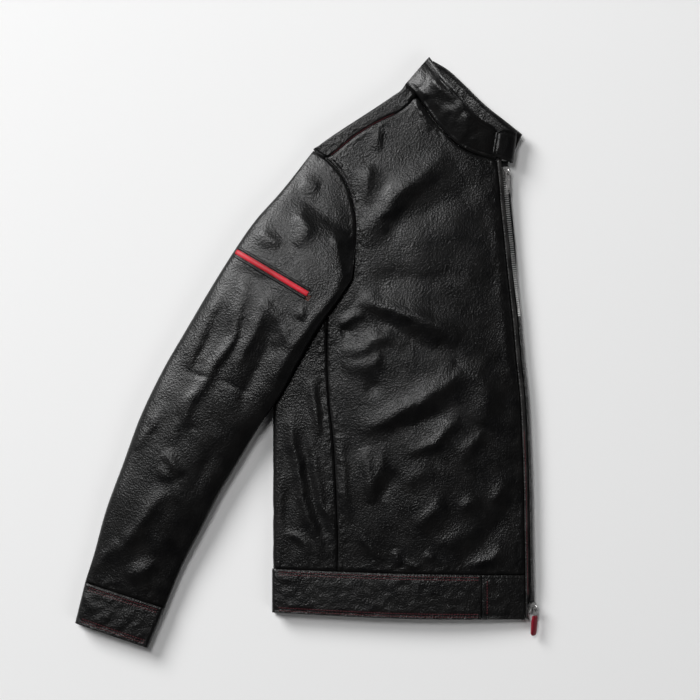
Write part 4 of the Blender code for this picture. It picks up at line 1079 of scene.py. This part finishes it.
def collar_grid(rows, crown):
    """Points from the seam to the top edge, and their distances from the seam and from the edge."""
    dense = smooth(rows, 16)
    shares = dense_ends((0.0, 0.02, 0.05), (0.09, 0.9, 22), (0.93, 0.96, 0.985, 1.0))
    seam, edge = dense[:, None, 0:3], dense[:, None, 3:6]
    points = mix(seam, edge, shares[None, :, None])
    points[..., 2] += crown * np.sin(math.pi * shares)
    length = np.linalg.norm(points[:, -1] - points[:, 0], axis=-1)[:, None]
    return points, shares * length, (1 - shares) * length


def make_collar_right(material, inner):
    """The near half, with two grooves by its top edge and one by the neck seam."""
    rows = [seamed(row) for row in COLLAR_NEAR] + [COLLAR_FOLD]
    points, from_seam, from_edge = collar_grid(rows, COLLAR_CROWN)
    x, y = points[..., 0], points[..., 1]
    lift = fold_lift(x, y, COLLAR_LINES) + 0.5 * noise_field(x, y, 10, 55) + 0.5 * relief(x, y, 25)
    keep = ease(from_edge / 9) * ease(from_seam / 6)
    grooves = 0.8 * ridge(from_edge, 4.2, 0.9) + 0.8 * ridge(from_edge, 7.6, 0.9)
    stand = 0.9 * ridge(from_seam, 4.6, 0.9) - 0.5 * ridge(from_seam, 2.6, 1.2)
    points[..., 2] += keep * lift - grooves - stand - 1.2 * ridge(from_seam, 0, 1.3)
    return wall("collar_right_leather", lipped(points, last=False, depth=4.5), DOUBLED, material,
                rounding=1.2, nodes=("collar_right",), inner=inner)


def make_collar_left(material):
    """The far half, which shows its ribbed inside and the bound top edge."""
    points, _, from_edge = collar_grid(COLLAR_FAR, 0.0)
    run = np.linalg.norm(np.diff(points[:, -1], axis=0), axis=1)
    along = np.concatenate([[0], np.cumsum(run)])[:, None]
    ribs = 0.3 * np.sin(2 * math.pi * along / 2.8) * ease((from_edge - 4.2) / 1.5)
    bound = 0.8 * ease((4.0 - from_edge) / 1.0)
    points[..., 2] += ribs + bound
    return wall("collar_left_leather", points, DOUBLED, material, offset=0.0, rounding=1.0,
                nodes=("collar_left",))


def make_collar_tab(material):
    """The fastened tab, with a raised rim, its end turned down round the folded edge."""
    shares = np.linspace(0, 1, 25)
    rows = []
    for k, (x0, y0, x1, y1, z) in enumerate(smooth(COLLAR_TAB, 9)):
        squeeze = 0.10 * ease(1 - k / 9.0) ** 2
        t = mix(squeeze, 1 - squeeze, shares)
        xs, ys = mix(x0, x1, t), mix(y0, y1, t)
        border = np.minimum(np.minimum(shares, 1 - shares) * COLLAR_TAB_WIDTH, 0.5 + 1.1 * k)
        rim = 0.8 * ridge(border, 1.4, 1.0) - 0.7 * ridge(border, 3.6, 0.9)
        puff = 0.9 * ease(border / 8) + 0.35 * noise_field(xs, ys, 9, 65)
        rows.append(np.stack([xs, ys, z + 0.4 + rim + puff], -1))
    return wall("collar_tab_leather", rows, TAB_THICK, material, flip=True, rounding=1.1,
                nodes=("collar_tab",))


# ---------------------------------------------------------------- sleeve strip and zip

def on_surface(tree, x, y):
    """The uppermost surface point at x, y and its normal."""
    hit, normal = tree.ray_cast(Vector((x, y, ABOVE_ALL)) * MM, Vector((0, 0, -1.0)))[:2]
    return (None, None) if hit is None else (np.array(hit) / MM, np.array(normal))


def strip_piece(name, tree, low, high, rise, material, node):
    """A strip along the sleeve's trim: rounded in section, laid on the sleeve."""
    start, end = (np.array(point) for point in STRIP_ENDS)
    run = end - start
    side = np.array((-run[1], run[0])) / np.hypot(*run)
    rows = []
    for t in np.linspace(0, 1, 60):
        row = []
        for share in np.linspace(-1, 1, 11):
            x, y = start + run * t + side * mix(low, high, 0.5 * (share + 1))
            hit, normal = on_surface(tree, x, y)
            row.append(hit + normal * (rise * (1 - abs(share) ** 3) + 0.15))
        rows.append(row)
    return wall(name, rows, 1.1, material, flip=True, rounding=0.4, nodes=(node,))


def make_strip(sleeve, red, black):
    """The red strip on the sleeve between its two welts."""
    tree = evaluated_tree([sleeve])
    half = 0.5 * STRIP_WIDTH
    outer = half + WELT_WIDTH
    return [
        strip_piece("sleeve_strip_red", tree, -half + 0.2, half - 0.2, 0.9, red,
                    "sleeve_strip"),
        strip_piece("strip_welt_upper_leather", tree, half + 0.1, outer, 1.5, black,
                    "strip_welt_upper"),
        strip_piece("strip_welt_lower_leather", tree, -outer, -half - 0.1, 1.5, black,
                    "strip_welt_lower"),
    ]


def chain_height(y):
    """Height of the chain's middle, which rises towards the collar."""
    return CHAIN_HEIGHT + 3.6 * ease((y - 120.0) / 100.0)


def make_placket(name, node, upper, material):
    """A front edge beside the zip, narrower where it passes the lower slider."""
    rows = []
    shares = np.linspace(0, 1, 9)
    for y in spaced(-326.0, 236.0 if upper else 226.0, 2.5):
        line = x_at(ZIP, y)
        out = mix(PLACKET_OUT, PLACKET_AT_SLIDER, ease(1.8 - abs(y - LOW_SLIDER_Y) / 10))
        xs = line - mix(PLACKET_IN, out, shares)
        base = body_base(line - FRONT_EDGE_IN, max(y, HEM_Y))
        drop = 1.6 * shares ** 2 + 0.6 * ridge(shares, 0, 0.12)
        wave = 0.25 * noise_field(xs, np.full(len(xs), y), 9, 35)
        zs = base - drop + wave if upper else np.full(len(xs), PLACKET_THICK) - 0.3 * shares
        rows.append(np.stack([xs, np.full(len(xs), y), zs], -1))
    return wall(name, rows, PLACKET_THICK, material, rounding=0.7, nodes=(node,))


def chain_rise(y):
    """Between the sliders the teeth stand out, by the chest to the level of the front's edge."""
    level = mix(1.4, 2.6, float(ease((y - 20.0) / 100.0)))
    return level * float(ease((y - LOW_SLIDER_Y - 10) / 18) * ease((TOP_SLIDER_Y - y - 8) / 14))


def chain_tilt(y):
    """By the collar the closed zip lies flatter on the folded edge than lower down."""
    lower = mix(CHAIN_TILT, math.radians(76), float(ease((y - LOW_SLIDER_Y - 12) / 30)))
    return mix(lower, math.radians(20), float(ease((y - 40.0) / 110.0)))


def make_zip_tape(material):
    """The tape that carries the chain: out round the folded edge and back in."""
    rows = []
    for y in spaced(LOW_SLIDER_Y + 4.0, 234.0, 4.0):
        line, z = x_at(ZIP, y), chain_height(y) - 1.0 + chain_rise(y)
        reach = mix(-1.0, 5.2, ease((y - 20.0) / 120.0)) + 0.6 * ease((y - 205.0) / 14.0)
        corners = smooth(((-12.0, 0.2), (-5.0, 0.4), (-2.4, -0.7), (0.6 * reach, -1.5), (reach, -2.7),
                          (reach - 1.2, -4.4), (-5.0, -5.0), (-12.0, -5.2)), 4)
        rows.append([(line + inset, y, z + drop) for inset, drop in corners])
    return wall("zip_tape_woven", rows, 1.0, material, nodes=("zip_tape",))


def slider_frame(y, tilt=CHAIN_TILT):
    """Axes on the chain: X across the zip, Y up it, Z out of the folded edge."""
    up = Vector((x_at(ZIP, y + 8) - x_at(ZIP, y - 8), 16.0, 0.0)).normalized()
    out = Vector((math.sin(tilt), 0.0, math.cos(tilt)))
    place = Vector((x_at(ZIP, y) + CHAIN_INSET, y, chain_height(y) + CHAIN_DROP))
    place += out * 0.5 * CHAIN_THICK
    out = (out - up * out.dot(up)).normalized()
    basis = Matrix((up.cross(out), up, out)).transposed().to_4x4()
    return Matrix.Translation(place * MM) @ basis


def tooth_shape():
    """One tooth's corners: a clamped foot that narrows to a rounded head, in mm."""
    section = ((-3.4, 0.68), (-1.3, 0.68), (-0.7, 0.6), (0.6, 0.64), (1.3, 0.42))
    outline = [(x, half) for x, half in section] + [(x, -half) for x, half in section[::-1]]
    half_thick = 0.5 * CHAIN_THICK
    rings = []
    for height, scale in ((-half_thick, 0.72), (-0.75 * half_thick, 1.0), (0.75 * half_thick, 1.0),
                          (half_thick, 0.72)):
        rings.append([(-1.0 + (x + 1.0) * (0.9 + 0.1 * scale), y * scale, height) for x, y in outline])
    return rings


def tube_faces(base, levels, count):
    """Faces of a closed tube of rings of count points, whose first point is number base."""
    faces = []
    for low in range(base, base + (levels - 1) * count, count):
        for k in range(count):
            j = (k + 1) % count
            faces.append((low + k, low + count + k, low + count + j, low + j))
    last = base + (levels - 1) * count
    faces.append(tuple(range(base, base + count)))
    faces.append(tuple(range(last + count - 1, last - 1, -1)))
    return faces


def solid_mesh(name, verts, faces):
    """A mesh with all its faces turned outwards; verts are in metres."""
    mesh = bpy.data.meshes.new(name)
    mesh.from_pydata(verts, [], faces)
    bm = bmesh.new()
    bm.from_mesh(mesh)
    bmesh.ops.recalc_face_normals(bm, faces=bm.faces)
    bm.to_mesh(mesh)
    bm.free()
    return mesh


def tooth_frame(y):
    """Where the tooth at y stands, and how it is turned."""
    rise = chain_rise(y)
    outward = 0.45 * rise * float(ease((y - 20) / 120))
    return Matrix.Translation(Vector((outward, 0, rise)) * MM) @ slider_frame(y, chain_tilt(y))


def make_teeth(name, side, metal_above_line, dark):
    """One row of the closed zip's teeth, which interlocks with the other along the folded edge."""
    rings = tooth_shape()
    levels, count = len(rings), len(rings[0])
    verts, faces = [], []
    start = LOW_SLIDER_Y + 5 + (0.5 * TOOTH_PITCH if side > 0 else 0.0)
    for y in np.arange(start, TOP_SLIDER_Y - 4, TOOTH_PITCH):
        frame = tooth_frame(y)
        faces += tube_faces(len(verts), levels, count)
        verts += [tuple(frame @ (Vector((side * a, b, c + 0.6 * side)) * MM))
                  for ring in rings for a, b, c in ring]
    mesh = solid_mesh(name, verts, faces)
    thing = new_object(name, mesh, metal_above_line)
    # The second material is painted shade: a near-black metal for the teeth that face away from the
    # light.
    mesh.materials.append(dark)
    faces_per_tooth = (levels - 1) * count + 2
    # Teeth below the line, with a scattered border, get the painted shade material; the rest get the
    # first one.
    for face in mesh.polygons:
        y = start + TOOTH_PITCH * (face.index // faces_per_tooth)
        face.material_index = int(y + 22.0 * noise_field(y, 0.0, 5.0, 83) < PAINTED_SHADE_BELOW_Y)
    mesh.shade_flat()
    if side > 0:
        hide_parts("zip_chain")
    return thing


def rounded(distance, radius):
    """How wide a shape is at a distance from its rounded end, as a share of its full width."""
    return math.sqrt(max(1 - max(1 - distance / radius, 0) ** 2, 0.0))


def grip_ring(t):
    """The grip's section a share t of the way down it: where its points lie across and up."""
    round_end, round_start = rounded(1 - t, 0.14), rounded(t, 0.06)
    swell = math.sin(math.pi * t)
    wide = 0.5 * GRIP_WIDTH * (0.93 + 0.07 * swell) * (0.25 + 0.75 * round_end)
    thick = 0.5 * GRIP_THICK * (0.75 + 0.25 * swell) * max(round_end * round_start, 0.2)
    return [(wide * math.copysign(abs(cosine) ** 0.55, cosine),
             thick * math.copysign(abs(sine) ** 0.7, sine))
            for cosine, sine in arc(0, 360, GRIP_SIDES + 1)[:-1]]


def make_grip(material):
    """The lower pull's leather grip: a folded strip, thicker in the middle."""
    frame = slider_frame(LOW_SLIDER_Y)
    frame = frame @ Matrix.Translation(Vector((0, 0, 0.5 * SLIDER_THICK + EYE_HEIGHT)) * MM)
    frame = frame @ Matrix.Rotation(LOW_PULL_DROOP, 4, "X")
    shares = dense_ends((0.0, 0.02, 0.06, 0.12), (0.18, 0.85, 12), (0.92, 0.96, 0.985, 1.0))
    verts = [tuple(frame @ (Vector((x, -LINK_LENGTH - SEAM_GAP - GRIP_LENGTH * t, z)) * MM))
             for t in shares for x, z in grip_ring(t)]
    mesh = solid_mesh("lower_pull_leather", verts, tube_faces(0, len(shares), GRIP_SIDES))
    thing = new_object("lower_pull_leather", mesh, material, "lower_pull_tab")
    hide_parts("lower_pull_grip")
    return thing


# ---------------------------------------------------------------- stitches

def resampled(points, spacing):
    """Places along a polyline, spacing apart."""
    points = np.asarray(points, float)
    steps = np.concatenate([[0], np.cumsum(np.linalg.norm(np.diff(points, axis=0), axis=1))])
    places = np.arange(0.5 * spacing, steps[-1], spacing)
    return np.stack([np.interp(places, steps, points[:, k]) for k in range(points.shape[1])], -1)


def add_stitch(verts, faces, place, along, normal, length, radius):
    """A capsule that dips into the leather at both ends."""
    along = along - normal * along.dot(normal)
    along /= max(np.linalg.norm(along), 1e-9)
    side = np.cross(normal, along)
    faces += tube_faces(len(verts), len(STITCH_RINGS), 6)
    for where, thick, height in STITCH_RINGS:
        centre = place + along * where * length + normal * height * radius * 2
        verts += [tuple((centre + (side * cosine + normal * sine) * radius * thick) * MM)
                  for cosine, sine in arc(0, 300, 6)]


def make_stitches(name, tree, lines, material, length=STITCH_LENGTH, radius=STITCH_RADIUS):
    """Stitches along plan lines, laid on the surface that a tree holds."""
    verts, faces = [], []
    for line in lines:
        path = resampled(line, length + STITCH_GAP)
        for k in range(1, len(path) - 1):
            hit, normal = on_surface(tree, *path[k])
            ahead, _ = on_surface(tree, *path[k + 1])
            if hit is None or ahead is None or np.linalg.norm(ahead - hit) > 2.2 * length:
                continue
            add_stitch(verts, faces, hit, ahead - hit, normal, length, radius)
    mesh = bpy.data.meshes.new(name)
    mesh.from_pydata(verts, [], faces)
    thing = new_object(name, mesh, material)
    return thing


def hem_line(curve, dy):
    """A stitching line along the hem band, dy from one of its borders."""
    xs = np.linspace(FOLD_X + 3.0, HEM_TAB_X - 1.5, 60)
    return np.stack([xs, y_at(curve, xs) + dy], -1)


def beside(line, offset):
    """A polyline set off to its left by offset."""
    line = np.asarray(line, float)
    run = np.gradient(line, axis=0)
    run /= np.linalg.norm(run, axis=1)[:, None]
    return line + np.stack([-run[:, 1], run[:, 0]], -1) * offset


def cuff_line(ends, offset):
    """A stitching line across a cuff, offset from the border between two ends."""
    outer, inner = (np.array(end) for end in ends)
    run = (inner - outer) / np.linalg.norm(inner - outer)
    down = np.array((run[1], -run[0]))
    return np.array([outer + run * 3.0, inner - run * 3.0]) + down * offset


# ---------------------------------------------------------------- stage

def make_floor():
    bpy.ops.mesh.primitive_plane_add(size=9.0, location=(0, 0, -0.0002))
    floor = bpy.context.object
    floor.name = "floor"
    nodes = Nodes("floor_white", 0.9, specular=0.1)
    nodes.shader.inputs["Base Color"].default_value = (*FLOOR_COLOUR, 1.0)
    floor.data.materials.append(nodes.material)


def make_lamps():
    """Soft lamps that face the jacket; the one for the floor leaves no highlight."""
    for name, place, size, power in (("key", KEY_PLACE, KEY_SIZE, KEY_POWER),
                                     ("top", TOP_PLACE, TOP_SIZE, TOP_POWER),
                                     ("floor_fill", FLOOR_FILL_PLACE, KEY_SIZE, FLOOR_FILL_POWER)):
        lamp = bpy.data.lights.new(name, "AREA")
        lamp.shape = "DISK"
        lamp.size = size
        lamp.energy = power
        light = bpy.data.objects.new(name, lamp)
        light.location = place
        light.visible_glossy = name != "floor_fill"
        light.rotation_euler = (-Vector(place)).to_track_quat("-Z", "Y").to_euler()
        bpy.context.scene.collection.objects.link(light)


def make_sky():
    """Light from all round, weaker away from the key light and dark overhead."""
    world = bpy.data.worlds.new("studio")
    world.use_nodes = True
    tree = world.node_tree
    background = tree.nodes["Background"]
    background.inputs["Color"].default_value = (0.98, 0.99, 1.0, 1.0)
    direction = tree.nodes.new("ShaderNodeSeparateXYZ")
    tree.links.new(tree.nodes.new("ShaderNodeTexCoord").outputs["Generated"], direction.inputs[0])
    x, y, z = direction.outputs
    height = ranged(tree, z, 0.4, 0.88, FILL_STRENGTH, FILL_OVERHEAD)
    height.interpolation_type = "SMOOTHSTEP"
    away = computed(tree, "SUBTRACT", x, y)
    side = ranged(tree, away, -0.7, 0.7, 1.0, FILL_AWAY)
    strength = computed(tree, "MULTIPLY", height.outputs["Result"], side.outputs["Result"])
    tree.links.new(strength, background.inputs["Strength"])
    bpy.context.scene.world = world


def make_camera():
    camera = bpy.data.cameras.new("camera")
    camera.lens = CAMERA_LENS
    camera.sensor_width = 36.0
    camera.clip_end = 50.0
    eye = bpy.data.objects.new("camera", camera)
    eye.location = CAMERA_PLACE
    bpy.context.scene.collection.objects.link(eye)
    bpy.context.scene.camera = eye
    bpy.context.scene.view_settings.view_transform = "Standard"


# ---------------------------------------------------------------- the jacket

def dress_metal(frame, polished):
    """The sliders and the metal pulls keep their CAD shapes, with softened edges."""
    for name in ("top_slider", "lower_slider", "top_pull", "lower_pull"):
        node = frame["nodes"][name]
        for slot in node.material_slots:
            slot.material = polished
        bevel = node.modifiers.new("soft_edges", "BEVEL")
        bevel.width = 0.25 * MM
        bevel.segments = 2
        bevel.limit_method = "ANGLE"


def sew(tree, red_thread, orange_thread):
    """All visible stitching: hem, placket, cuffs, the strip's tack and the shoulder seam."""
    make_stitches("hem_thread", tree, [
        hem_line(HEM_TOP, -3.4), hem_line(HEM_TOP, -6.8),
        hem_line(HEM_LOW, 2.9), hem_line(HEM_LOW, 6.3),
        [(HEM_TAB_X + 6.5, -275.5), (HEM_TAB_X + 6.5, -323.0)],
    ], red_thread)
    low_zip = ZIP[(ZIP[:, 1] < -90) & (ZIP[:, 1] > -318)] - np.array((5.3, 0.0))
    make_stitches("placket_thread", tree, [low_zip], red_thread)
    make_stitches("cuff_thread", tree, [
        cuff_line(CUFF_SEAM_ENDS, 4.6), cuff_line(CUFF_SEAM_ENDS, 8.0),
        cuff_line(CUFF_EDGE_ENDS, -4.4), cuff_line(CUFF_EDGE_ENDS, -7.8),
    ], red_thread)
    tack = [((-4.4, 61.5), (1.6, 72.5)), ((-3.0, 60.6), (3.0, 71.6)), ((-1.6, 60.0), (4.2, 70.6))]
    make_stitches("strip_tack_thread", tree, tack, orange_thread, length=1.7, radius=0.36)
    make_stitches("shoulder_thread", tree, [beside(SHOULDER[6:42], 1.0)], red_thread)


def make_leather_pieces(black, smooth_black, worn_and_sheen_black, red, satin):
    """Every piece but the zip; returns those on which stitches are laid."""
    front = make_right_front(black)
    side = make_back_side(black)
    shoulder = make_back_shoulder(black)
    make_body_under(black)
    sleeve = make_right_sleeve(black)
    make_left_sleeve(black)
    right_cuff = make_cuff("right_cuff_leather", "right_cuff", CUFF_HEIGHT + SEAM_GAP, 1.2, black, satin)
    make_cuff("left_cuff_leather", "left_cuff", 0.0, 0.0, black, satin)
    hem, hem_fronts = make_hem(black)
    collar = make_collar_right(smooth_black, satin)
    make_collar_left(smooth_black)
    tab = make_collar_tab(smooth_black)
    strips = make_strip(sleeve, red, smooth_black)
    placket = make_placket("right_placket_leather", "right_placket", True, worn_and_sheen_black)
    make_placket("left_placket_leather", "left_placket", False, worn_and_sheen_black)
    return [front, side, shoulder, sleeve, right_cuff, hem, collar, tab, placket] + hem_fronts + strips


def main():
    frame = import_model()
    black = leather("black_leather_grain", (0.002, 0.002, 0.0022), (0.005, 0.0048, 0.0047), 0.32)
    smooth_black = leather("black_leather_smooth", (0.0022, 0.0022, 0.0024), (0.005, 0.0048, 0.0047),
                           0.33, 0.7)
    # The placket's leather is lighter than the rest: partly real wear on the front edge, partly a
    # painted sheen.
    worn_and_sheen_black = leather("black_leather_worn_and_sheen", (0.005, 0.005, 0.005), (0.034, 0.033, 0.032), 0.38, 1.5)
    red = leather("red_leather_grain", (0.36, 0.006, 0.014), (0.58, 0.012, 0.03), 0.42, 0.5)
    dark_red = leather("crimson_leather_grain", (0.16, 0.005, 0.014), (0.30, 0.009, 0.024), 0.38, 0.5)
    red_thread = thread("maroon_thread", (0.055, 0.006, 0.010), (0.12, 0.013, 0.02))
    orange_thread = thread("tack_thread", (0.16, 0.03, 0.012), (0.30, 0.06, 0.03))
    tape = woven_tape("zip_tape_weave")
    teeth_metal = metal("gunmetal_teeth", (0.45, 0.45, 0.445), (0.66, 0.66, 0.65), 0.42, 0.08, 0.75)
    # A near-black metal that is painted shade, for the lower teeth and the whole far row, which face
    # away from the light.
    painted_shade_metal = metal("gunmetal_painted_shade", (0.04, 0.04, 0.04), (0.12, 0.12, 0.12), 0.4, 0.08)
    polished = metal("polished_slider", (0.36, 0.357, 0.352), (0.5, 0.49, 0.485), 0.42, 0.05)
    satin = lining_cloth("satin_lining")

    stitched = make_leather_pieces(black, smooth_black, worn_and_sheen_black, red, satin)
    make_zip_tape(tape)
    make_teeth("zip_teeth_right", 1, teeth_metal, painted_shade_metal)
    # The far row of teeth is all painted shade.
    make_teeth("zip_teeth_left", -1, painted_shade_metal, painted_shade_metal)
    make_grip(dark_red)
    dress_metal(frame, polished)
    sew(evaluated_tree(stitched), red_thread, orange_thread)
    make_floor()
    make_lamps()
    make_sky()
    make_camera()


main()
